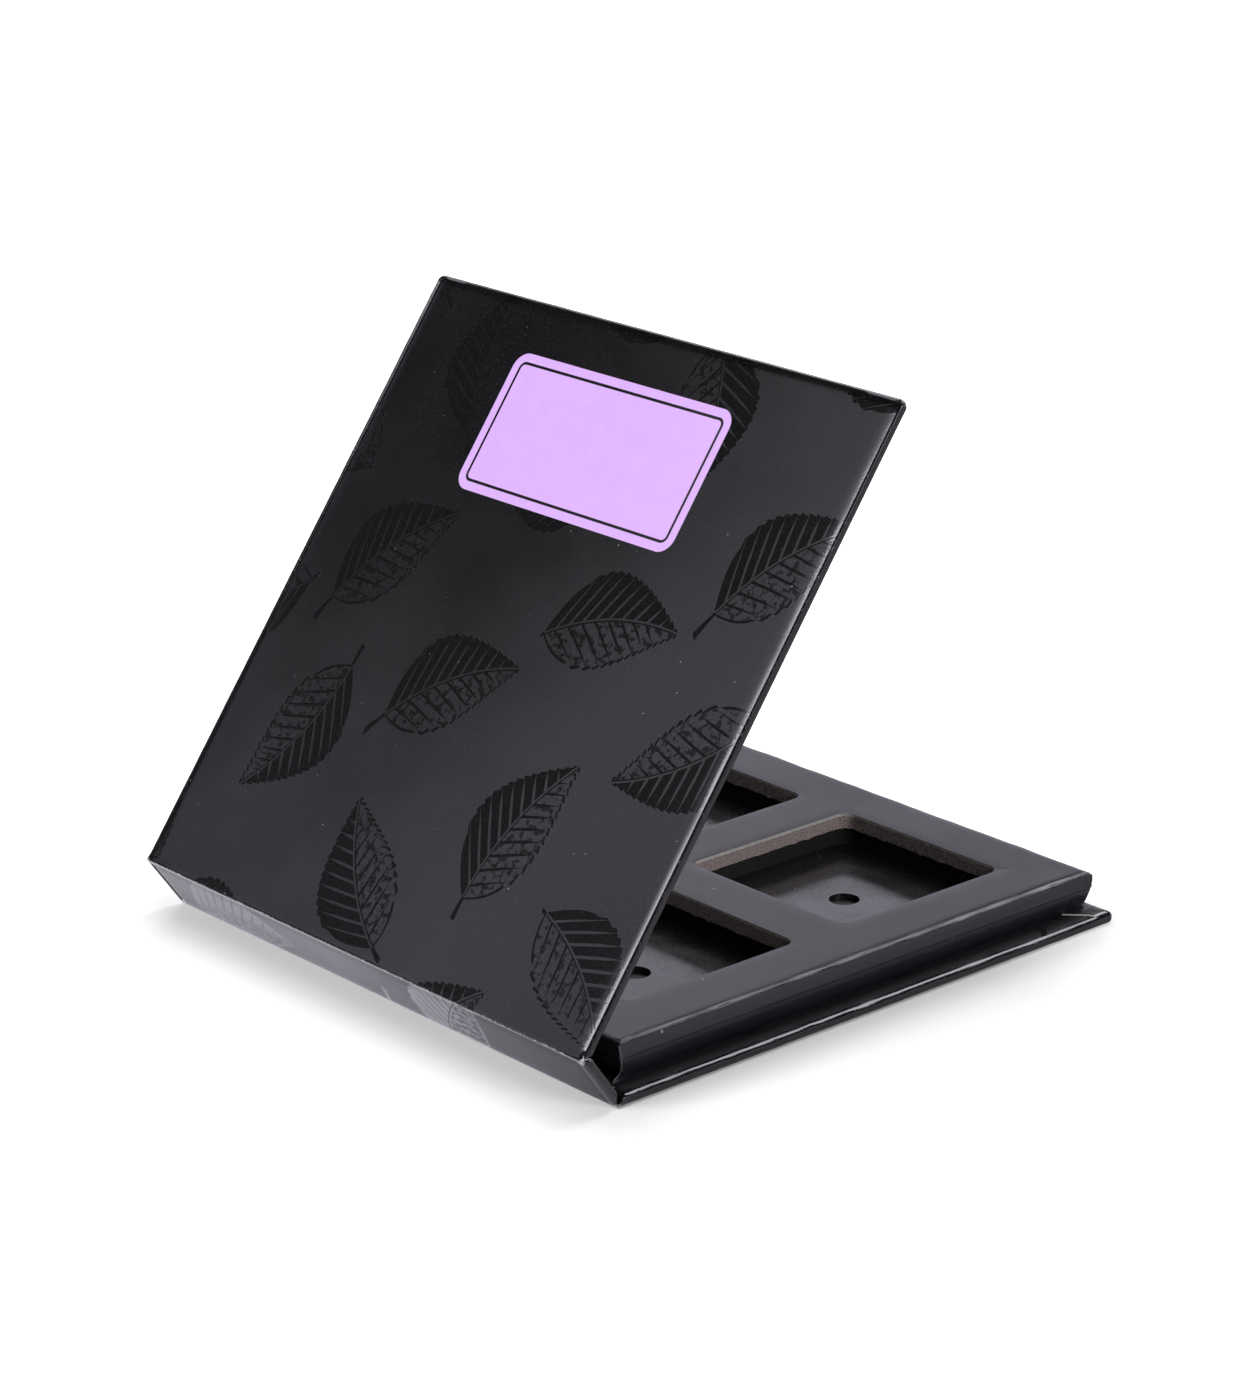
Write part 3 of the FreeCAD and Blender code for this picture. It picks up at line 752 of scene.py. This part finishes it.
def rumple(bm, run, flap_line, flap_height):
    """Give the paper its dips, droops and crinkles, and raise the upper flaps."""

    def step_for(vert):
        x, y, z = vert.co
        # Both papers take their waves from the same sheet, so they meet on the spine.
        on_sheet = Vector((run.way * x, run.way * (y - run.near_end), 0))
        side = HALF_WIDTH - abs(x)
        end = run.free_edge - y
        rim = min(side, end)
        step = Vector()
        if z < OUTER_FACE:
            broad = 0.5 + 0.5 * wobble(on_sheet, 16.0, 1.0)
            step.z += 0.035 * broad * ease(rim, 0.3, 2.5) * ease(abs(y), 0.3, 2.0)
            step.z += edge_drop(x, y, run.free_edge, run.mirror)
            # The spine's paper leaves the crease at a slant before it lies flat.
            step.z += 0.15 * (1 - ease(-y, 0.0, 1.7)) * ease(-y, -0.5, 0.0)
        # Crinkles where the paper turns over the board's edge.
        rim_share = 1 - ease(rim, 0.15, 1.8)
        at = on_sheet + Vector((0, 0, z * 2))
        crinkle = 0.6 * wobble(at, 2.3, 1.0) + 0.4 * wobble(at, 0.9, 4.0)
        step -= vert.normal * (0.06 * rim_share * (0.5 + 0.5 * crinkle))
        if z > EDGE_HIGH:
            # The turned-in paper rounds off towards the rim as well.
            uneven = 0.85 + 0.45 * wobble(at, 3.1, 7.0) + 0.25 * wobble(at, 1.1, 8.0)
            share = min(1.0, (z - EDGE_HIGH) / (PANEL_THICKNESS - OUTER_FACE - EDGE_HIGH))
            step.z -= 0.42 * uneven * share * fall(rim, 1.6) * ease(y, 0.5, 2.5)
        if z > PANEL_THICKNESS - 0.2 and y + run.half_arc > MITRES_FROM:
            over = ease(y - abs(x), flap_line - MITRE_HALF, flap_line + MITRE_HALF)
            step.z += flap_height * over * ease(side, 0.1, 0.9) * ease(end, 0.1, 0.9)
        return step

    bm.normal_update()
    move_all(bm, step_for)


def press_into_fold(bm):
    """Beyond the boards, lay the turned-in paper down into the fold."""
    for vert in bm.verts:
        x, y, z = vert.co
        if z <= CREASE_LOW:
            continue
        side = HALF_WIDTH - abs(x)
        early = 0.5 * (1 - ease(side, 0.3, 2.4))
        uneven = 0.25 * wobble((x, y, z), 1.1, 10.0)
        reach = abs(y) + uneven * ease(abs(y), 0.3, 0.7)
        open_share = ease(reach, 0.85 - early, 1.95 - early)
        top = CREASE_TOP + (PANEL_THICKNESS - CREASE_TOP) * open_share
        squeeze = (top - CREASE_LOW) / (PANEL_THICKNESS - CREASE_LOW)
        vert.co.z = CREASE_LOW + (z - CREASE_LOW) * squeeze
        pull = (1 - open_share) * 0.06 * ease(z, CREASE_LOW, 0.8)
        vert.co.x -= math.copysign(pull, x) * (1 - ease(side, 0.4, 1.0))


def case_paper(name, run, flap_height):
    """The printed paper of one panel and its half of the spine, with turned-in edges."""
    flap_line = run.free_edge - HALF_WIDTH - MITRE_SHIFT
    bm = rounded_slab(run)
    score_paper(bm, run)
    cut_mitres(bm, flap_line)
    open_inside(bm, run)
    chart = bm.loops.layers.uv.new("Sheet")
    for face in bm.faces:
        for loop in face.loops:
            across, along = unrolled(loop.vert.co, run.free_edge)
            along += run.half_arc + HALF_SPINE
            loop[chart].uv = Vector((across, along)) * (run.way / SHEET_SCALE)
    mark_wear(bm, run)
    rumple(bm, run, flap_line, flap_height)
    press_into_fold(bm)
    run.fold_over(bm)
    bmesh.ops.recalc_face_normals(bm, faces=bm.faces)
    return finished(bm, name, [PRINTED, CUT_PAPER])


def lining(name, run, half_width, far, lifted):
    """The inner paper of one panel and its half of the spine.

    On the panel it is lifted where it lies on the turned-in paper, unless it ends there.
    """
    start_half = HALF_WIDTH - LINER_MARGIN
    window_far = run.free_edge - TURN_IN
    pitch = 1.6
    bm = bmesh.new()
    bmesh.ops.create_grid(bm, x_segments=1, y_segments=1, size=0.5)
    bmesh.ops.scale(bm, vec=(2 * start_half, far - run.near_end, 1), verts=bm.verts)
    bmesh.ops.translate(bm, vec=(0, (far + run.near_end) / 2, 0), verts=bm.verts)
    ledge = [-0.5, -0.3, -0.15, 0.0, 0.15, 0.3]
    score(bm, X_AXIS, spread(-start_half + 0.6, start_half - 0.6, pitch))
    score(bm, X_AXIS, both_sides([WINDOW_HALF + shift for shift in ledge]))
    score(bm, Y_AXIS, spread(3.0, far - 0.6, pitch) + [window_far + shift for shift in ledge])
    score(bm, Y_AXIS, spread(-run.half_arc, run.half_arc, 0.1))
    score(bm, Y_AXIS, both_sides([0.5, 0.8, 1.1, 1.3, 1.5, 1.7, 1.9, 2.2, 2.6]))
    beyond = []
    for face in bm.faces:
        centre = face.calc_center_median()
        if abs(centre.x) > half_width and centre.y > BOARD_START:
            beyond.append(face)
    bmesh.ops.delete(bm, geom=beyond, context="FACES")
    chart = bm.loops.layers.uv.new("Sheet")
    for face in bm.faces:
        for loop in face.loops:
            x, y, _ = loop.vert.co
            loop[chart].uv = Vector((x, y + run.half_arc + HALF_SPINE)) / SHEET_SCALE
    wear = bm.verts.layers.float.new("wear")
    seed = 14.0 if run.mirror else 11.0
    for vert in bm.verts:
        x, y, _ = vert.co
        crease = 1 - ease(abs(y), 0.2, 0.6)
        vert[wear] = max(crease, 0.6 * ease(abs(x), start_half - 0.3, start_half))
        on_turn_in = max(
            ease(abs(x), WINDOW_HALF - 0.35, WINDOW_HALF + 0.1),
            ease(y, window_far - 0.35, window_far + 0.1),
        )
        height = PANEL_THICKNESS + PAPER * on_turn_in * (lifted or y <= 0)
        groove = 1 - ease(abs(y), 1.15, 1.75)
        height += (0.24 + PAPER - height) * groove
        uneven = 0.5 + 0.5 * wobble((x, y, 0), 9.0, seed)
        vert.co.z = height + 0.02 * uneven * ease(abs(y), 1.9, 3.0)
    run.fold_over(bm)
    return finished(bm, name, [LINING, CUT_PAPER])


def board_core(node, name, panel):
    """A board inside the paper, with the eased edges that its die cut leaves."""
    bm = merged_copy(node)
    bmesh.ops.transform(bm, matrix=PANELS[panel].inverted(), verts=bm.verts)
    bmesh.ops.dissolve_limit(bm, angle_limit=0.01, verts=bm.verts, edges=bm.edges)
    bmesh.ops.triangulate(bm, faces=bm.faces)
    insets = [0.3, 0.5, 0.8, 1.2, 1.7, 2.3, 3.0]
    score(bm, X_AXIS, both_sides([HALF_WIDTH - inset for inset in insets]))
    if panel == "spine":
        free_edge = NO_EDGE
    else:
        free_edge = max(vert.co.y for vert in bm.verts) + PAPER
        score(bm, Y_AXIS, [free_edge - inset for inset in insets])
    score(bm, Z_AXIS, [0.45, 1.05])
    for vert in bm.verts:
        x, y, z = vert.co
        rim = min(HALF_WIDTH - abs(x), free_edge - y)
        drop = edge_drop(x, y, free_edge, panel == "base") + 0.05 + 0.3 * (1 - ease(rim, 0.1, 0.6))
        vert.co.z += drop * (1 - ease(z, 0.3, 1.0))
        vert.co.z -= (0.04 + 0.4 * (1 - ease(rim, 0.1, 1.6))) * ease(z, 0.6, 1.3)
    bmesh.ops.transform(bm, matrix=PANELS[panel], verts=bm.verts)
    return finished(bm, name, [GREY_BOARD])


def across_fold(fold, panel_way, spine_way):
    """Where a sheet starts and ends its turn from the panel to the spine."""
    reach = 0.36
    return (fold + panel_way * reach) * MM, (fold + spine_way * reach) * MM


SPINE_WAY = Vector((0, math.sin(SPINE_LEAN), math.cos(SPINE_LEAN)))
LID_WAY = Vector((0, -math.cos(LID_RISE), math.sin(LID_RISE)))
BASE_WAY = Vector((0, -1, 0))

lid_paper = case_paper("lid_paper", LID_RUN, 0.1)
base_paper = case_paper("base_paper", BASE_RUN, 0.17)
lid_lining = lining("lid_lining", LID_RUN, HALF_WIDTH, CASE_DEPTH - LINER_MARGIN, True)
base_lining = lining(
    "base_lining", BASE_RUN, WINDOW_HALF - 0.05, CASE_DEPTH - TURN_IN - 0.05, False
)
on_lid = LID_FOLD * MM + LID_WAY * 0.04
face_towards(lid_paper, on_lid, Vector((0, 1, 1)))
face_towards(lid_lining, on_lid, Vector((0, -1, -1)))
face_towards(base_paper, Vector((0, 0, 0)), -Z_AXIS)
face_towards(base_lining, Vector((0, 0, 0.0015)), Z_AXIS)
for sheet in (lid_paper, base_paper, lid_lining, base_lining):
    add_thickness(sheet)

lid_turn = across_fold(LID_FOLD, LID_WAY, -SPINE_WAY)
base_turn = across_fold(BASE_FOLD, BASE_WAY, SPINE_WAY)
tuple(lid_turn[0])
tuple(lid_turn[1])
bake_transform(lid_paper)
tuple(lid_turn[0])
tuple(lid_turn[1])
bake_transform(lid_lining)
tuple(base_turn[0])
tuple(base_turn[1])
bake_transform(base_paper)
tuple(base_turn[0])
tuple(base_turn[1])
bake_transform(base_lining)
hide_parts("lid_wrap", "spine_wrap")
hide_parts("base_wrap")
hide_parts("lid_liner", "spine_liner")
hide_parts("base_liner")
for node, panel in (("lid_board", "lid"), ("spine_board", "spine"), ("base_board", "base")):
    core = board_core(node, panel + "_core", panel)
    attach(core, panel)
    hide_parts(node)


# --------------------------------------------------------------------- the tray

# Height below which the tray's wall leans in.
WALL_TURN = 6.3
# The top board's rim lies beyond this distance from the middle, and its card ends here.
BOARD_RIM = 39.0
BOARD_END = 39.5


def window_distance(x, y):
    """Distance from a point to the nearest window's side, less than nought inside it."""
    nearest = NO_EDGE
    for sign_x in (-1, 1):
        for sign_y in (-1, 1):
            dx = abs(x - sign_x * WELL_MIDDLE) - WELL_HALF
            dy = abs(y - sign_y * WELL_MIDDLE) - WELL_HALF
            nearest = min(nearest, max(dx, dy))
    return nearest


def wall_line(z, turn=WALL_TURN, curve=2.4):
    """Distance of the tray's leaning wall from the middle, at a height above the table."""
    share = max(0.0, (turn - z) / (turn - PANEL_THICKNESS))
    return TRAY_HALF - (TRAY_HALF - TRAY_FOOT_HALF) * share**curve


def tray_skin():
    """The tray's paper: it sags a little between its boards and waves along its top edge."""
    bm = merged_copy("tray_wrap")
    for axis in (X_AXIS, Y_AXIS):
        score(bm, axis, spread(-39.6, 39.6, 1.1) + both_sides([40.0, 39.8, 39.2]))
    score(bm, Z_AXIS, [2.2, 3.0, 3.8, 4.6, 5.4, 6.0, WALL_TURN])
    wear = bm.verts.layers.float.new("wear")

    def step_for(vert):
        x, y, z = vert.co
        to_edge = TRAY_HALF - max(abs(x), abs(y))
        to_corner = TRAY_HALF - min(abs(x), abs(y))
        to_window = window_distance(x, y)
        step = Vector()
        if z > TRAY_TOP - 0.32:
            sag = 0.5 + 0.5 * wobble((x, y, 0), 13.0, 21)
            step.z -= 0.05 * sag * ease(to_edge, 0.2, 2.0)
            step.z -= 0.34 * fall(to_edge, 1.3) * (0.75 + 0.45 * wobble((x, y, 0), 5.0, 23))
            step.z -= 0.05 * (1 - ease(to_window, 0.0, 0.9))
            step.z -= 0.1 * (z < TRAY_TOP - 0.05) * (1 - ease(to_window, 0.0, 0.3))
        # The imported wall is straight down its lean, and the paper bellies out from it.
        flat_line = wall_line(z, TOP_BOARD_LOW, 1)
        bulge = wall_line(z) - 0.03 - flat_line
        if z < WALL_TURN:
            step.x += math.copysign(bulge, x) * (abs(x) > flat_line - 0.25)
            step.y += math.copysign(bulge, y) * (abs(y) > flat_line - 0.25)
        if to_edge < 0.6:
            at = (x, y, z)
            uneven = 0.5 + 0.5 * (0.6 * wobble(at, 4.2, 25) + 0.4 * wobble(at, 1.6, 26))
            step -= vert.normal * (0.03 + 0.09 * ease(z, 5.6, 6.6)) * uneven
        vert[wear] = max(
            0.55 * (1 - ease(to_edge, 0.0, 0.9)) * ease(z, 6.2, 6.7),
            0.55 * (1 - ease(to_window, -0.1, 0.4)),
            0.9 * (1 - ease(to_corner, 0.0, 0.5)),
        )
        return step

    bm.normal_update()
    move_all(bm, step_for)
    # The paper's core shows where the windows are cut.
    for face in bm.faces:
        centre = face.calc_center_median()
        inside = TRAY_HALF - max(abs(centre.x), abs(centre.y)) > 3
        face.material_index = int(abs(face.normal.z) < 0.3 and inside)
    return finished(bm, "tray_paper", [TRAY_PAPER, CUT_PAPER], 42)


def side_flap(name, sign):
    """The paper of one side wall, laid over the corner flaps, with its cut ends standing off."""
    bm = bmesh.new()
    bmesh.ops.create_grid(bm, x_segments=150, y_segments=18, size=0.5)
    top, foot = 6.5, PANEL_THICKNESS + 0.02
    wear = bm.verts.layers.float.new("wear")
    for vert in bm.verts:
        share = vert.co.y + 0.5
        along = vert.co.x * 2
        height = foot + (top - foot) * share
        hollow = math.sin(math.pi * ease(share, 0.02, 1.0)) * abs(along) ** 20
        foot_out = (1 - ease(share, 0.0, 0.17)) ** 2 * abs(along) ** 24
        reach = TRAY_HALF + 0.1 - 0.34 * hollow + 0.9 * foot_out
        y = along * (reach - 0.75 * (1 - ease(share, 0.0, 0.65)))
        at_end = ease(abs(along), 0.965, 1.0) * ease(share, 0.05, 0.3)
        stand = 0.03 + 0.16 * at_end * (1 - 0.7 * ease(share, 0.8, 1.0))
        stand -= 0.16 * ease(share, 0.93, 1.0) * (1 - 0.6 * at_end)
        stand += 0.05 * (0.5 + 0.5 * wobble((y, height, 3 * sign), 6.0, 31))
        stand += 0.45 * (1 - ease(share, 0.0, 0.12)) ** 2 * ease(abs(along), 0.9, 1.0)
        vert.co = Vector((sign * (wall_line(height) + stand), y, height))
        vert[wear] = ease(abs(along), 0.995, 1.0)
    thing = finished(bm, name, [TRAY_PAPER, CUT_PAPER], 60)
    face_towards(thing, Vector((sign * TRAY_HALF, 0, 5.5)) * MM, X_AXIS * sign)
    add_thickness(thing)
    return thing


def top_board():
    """The tray's pulp board, with fibrous, ragged edges in its four windows."""
    bm = merged_copy("tray_top_board")
    middle = (TOP_BOARD_LOW + TOP_BOARD_TOP) / 2

    def on_window_edge(centre):
        return (
            abs(centre.z - middle) < TOP_BOARD_TOP - middle - 0.01
            and window_distance(centre.x, centre.y) < 0.3
            and max(abs(centre.x), abs(centre.y)) < BOARD_RIM
        )

    def step_for(vert):
        x, y, z = vert.co
        if max(abs(x), abs(y)) > BOARD_RIM:
            # The paper rounds off over the board's outer edge, so the board ends short of it.
            inner_x, inner_y = (max(-BOARD_END, min(BOARD_END, place)) for place in (x, y))
            return Vector((inner_x - x, inner_y - y, 0))
        if abs(window_distance(x, y)) > 0.35:
            return Vector()
        nearest = Vector((math.copysign(WELL_MIDDLE, x), math.copysign(WELL_MIDDLE, y), z))
        inward = (nearest - vert.co).normalized()
        rough = 0.6 * wobble((x, y, z * 2), 0.8, 41) + 0.4 * wobble((x, y, z * 2), 0.35, 42)
        step = inward * (0.07 * rough - 0.03)
        if z < TOP_BOARD_LOW + 0.01:
            ragged = wobble((x, y, 0), 1.3, 43) + 0.6 * wobble((x, y, 0), 0.5, 44)
            step.z -= 0.2 * max(0.0, ragged)
            step += inward * (0.1 * max(0.0, ragged) - 0.02)
        elif z < TOP_BOARD_LOW + 0.2:
            step += inward * 0.05 * wobble((x, y, 0), 0.7, 45)
        return step

    along = spread(-12.2, 12.2, 0.42)
    places = [sign * WELL_MIDDLE + shift for sign in (-1, 1) for shift in along]
    score(bm, X_AXIS, places, on_window_edge)
    score(bm, Y_AXIS, places, on_window_edge)
    score(bm, Z_AXIS, [4.95, 5.1, 5.3, 5.5, 5.75, 6.0, 6.25, 6.5, 6.68], on_window_edge)
    move_all(bm, step_for)
    return finished(bm, "top_board", [GREY_BOARD], 60)


tray_paper = tray_skin()
tray_flaps = [side_flap("tray_flap_left", -1), side_flap("tray_flap_right", 1)]
board = top_board()
for piece in (tray_paper, *tray_flaps):
    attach(piece, "base")
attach(board, "base")
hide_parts("tray_wrap")
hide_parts("tray_top_board")

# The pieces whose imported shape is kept.
NODE_FINISHES = {
    "spacer_frame": BLACK_BOARD,
    "magnet_sheet": MAGNET_FILM,
    "tray_magnet_left": NICKEL,
    "tray_magnet_right": NICKEL,
    "lid_magnet_left": NICKEL,
    "lid_magnet_right": NICKEL,
}
for node, finish in NODE_FINISHES.items():
    mesh = frame["nodes"][node].data
    mesh.materials.clear()
    mesh.materials.append(finish)


# --------------------------------------------------------------- table and light

SEEN_TINT = (1.0, 1.0, 1.0, 1.0)
MIRRORED_TINT = (0.9, 0.875, 1.0, 1.0)


def stage_material(name, colour, seen, mirrored):
    """White for the camera and in reflections, with the object's shadow kept on it.

    The glow that is seen and the glow that is mirrored are each a sum of slopes. A slope
    is a measure in metres, the two places between which it changes, and the levels at these.
    Slopes that vary by place paint shade, light or reflection onto the surface.
    """
    recipe = Recipe(name)
    x, y, _ = recipe.parts(recipe.object_place)
    outside = recipe.vector("MULTIPLY", recipe.object_place, (1, 1, 0))
    outside = recipe.vector("ABSOLUTE", outside)
    outside = recipe.vector("SUBTRACT", outside, (HALF_WIDTH * MM, HALF_WIDTH * MM, 0))
    outside = recipe.vector("MAXIMUM", outside, (0, 0, 0))
    measures = {"from_case": recipe.length(outside), "x": x, "y": y}

    def level(slopes):
        total = 0.0
        for measure, *numbers in slopes:
            total = recipe.step(measures[measure], *numbers) + total
        return largest(total, 0.0)

    rays = recipe.add("LightPath").outputs
    by_camera, by_gloss, by_glass = (
        recipe.number(rays[f"Is {kind} Ray"]) for kind in ("Camera", "Glossy", "Transmission")
    )
    shader = recipe.add("BsdfDiffuse", (*colour, 1)).outputs[0]
    for tint, strength in (
        (SEEN_TINT, by_camera * level(seen)),
        (MIRRORED_TINT, largest(by_gloss, by_glass) * level(mirrored)),
    ):
        glow = recipe.add("Emission", tint, strength).outputs[0]
        shader = recipe.add("AddShader", shader, glow).outputs[0]
    recipe.add("OutputMaterial", shader)
    return recipe.material


def stage_piece(bm, name, material):
    """Stand a piece of the surroundings round the object."""
    mesh = bpy.data.meshes.new(name)
    bm.to_mesh(mesh)
    bm.free()
    mesh.materials.append(material)
    thing = bpy.data.objects.new(name, mesh)
    bpy.context.scene.collection.objects.link(thing)


def table_and_wall():
    """A white table and a low wall round it, dim on the side that the lid faces, with painted
    shadow, light and reflection on the table.
    """
    radius, height, sides = 3.2, 1.5, 96
    below_case = 0.00004
    table = bmesh.new()
    bmesh.ops.create_circle(table, cap_ends=True, segments=sides, radius=radius)
    bmesh.ops.translate(table, vec=(0, 0, -below_case), verts=table.verts)
    wall = bmesh.new()
    bmesh.ops.create_cone(
        wall, cap_ends=False, segments=sides, radius1=radius, radius2=radius, depth=height
    )
    bmesh.ops.translate(wall, vec=(0, 0, height / 2), verts=wall.verts)
    # Painted shadow and light on the table: its glow is lowest at the case and rises away from it,
    # a painted shadow, and is raised beyond the spine, beyond the far side and beyond one end,
    # painted light that thins the real shadow there.
    table_seen_painted_shadow_and_light = [
        ("from_case", 0.0, 0.009, 0.1, 0.25),
        ("from_case", 0.005, 0.026, 0.0, 0.2),
        ("from_case", 0.03, 0.9, 0.0, 0.22),
        ("y", 0.044, 0.056, 0.0, 0.12),
        ("y", -0.015, -0.055, 0.0, 0.45),
        ("x", 0.036, 0.05, 0.0, 0.14),
    ]
    # Painted reflection: the table's glow in reflections is raised under the spine, which
    # brightens the spine, and lowered towards the spine's near end, which darkens it there.
    table_mirrored_painted_reflection = [
        ("from_case", 0.08, 0.95, 0.32, 0.6),
        ("y", 0.034, 0.046, 0.0, 1.1),
        ("x", -0.029, -0.043, 0.0, -0.8),
    ]
    wall_seen = [("y", -0.6, 1.0, 1.0, 1.0)]
    wall_mirrored = [("y", -0.6, 1.0, 1.0, 0.08)]
    table_white_painted_shadow = stage_material("table_white_painted_shadow", (0.8, 0.8, 0.8), table_seen_painted_shadow_and_light, table_mirrored_painted_reflection)
    wall_white = stage_material("wall_white", (0.5, 0.5, 0.5), wall_seen, wall_mirrored)
    stage_piece(table, "table", table_white_painted_shadow)
    stage_piece(wall, "wall", wall_white)


def softbox(name, place, size, power):
    """A soft square lamp that looks at the palette."""
    target = Vector((0, 0.02, 0.03))
    lamp = bpy.data.lights.new(name, "AREA")
    lamp.shape = "RECTANGLE"
    lamp.size = size
    lamp.size_y = size
    lamp.energy = power
    thing = bpy.data.objects.new(name, lamp)
    thing.location = place
    thing.rotation_euler = (target - Vector(place)).to_track_quat("-Z", "Y").to_euler()
    bpy.context.scene.collection.objects.link(thing)


def world_light(level):
    """An even, dim room."""
    world = bpy.data.worlds.new("room")
    world.use_nodes = True
    background = world.node_tree.nodes["Background"]
    background.inputs[0].default_value = (1, 1, 1, 1)
    background.inputs[1].default_value = level
    bpy.context.scene.world = world


def camera():
    """The photograph's camera, solved from the panels' corners."""
    eye = Vector((-0.36544, 0.32874, 0.20018))
    way = Vector((0.7062, -0.6268, -0.3290))
    roll = math.radians(-0.1)
    picture_height, focal_length = 1400, 4117
    lens = bpy.data.cameras.new("camera")
    lens.sensor_fit = "VERTICAL"
    lens.sensor_height = 36.0
    lens.lens = lens.sensor_height * focal_length / picture_height
    lens.clip_start = 0.01
    lens.clip_end = 20
    thing = bpy.data.objects.new("camera", lens)
    thing.location = eye
    turn = way.to_track_quat("-Z", "Y").to_matrix() @ Matrix.Rotation(roll, 3, "Z")
    thing.rotation_euler = turn.to_euler()
    bpy.context.scene.collection.objects.link(thing)
    bpy.context.scene.camera = thing


table_and_wall()
world_light(0.02)
softbox("back_box", (0.15, 1.1, 0.8), 0.6, 14.5)
softbox("side_box", (-1.13, 0.02, 0.68), 0.5, 5.5)
softbox("front_box", (0.8, -0.44, 0.95), 0.6, 4.0)
softbox("far_box", (0.05, -0.85, 1.0), 0.5, 6.2)
camera()
bpy.context.scene.view_settings.view_transform = "Standard"
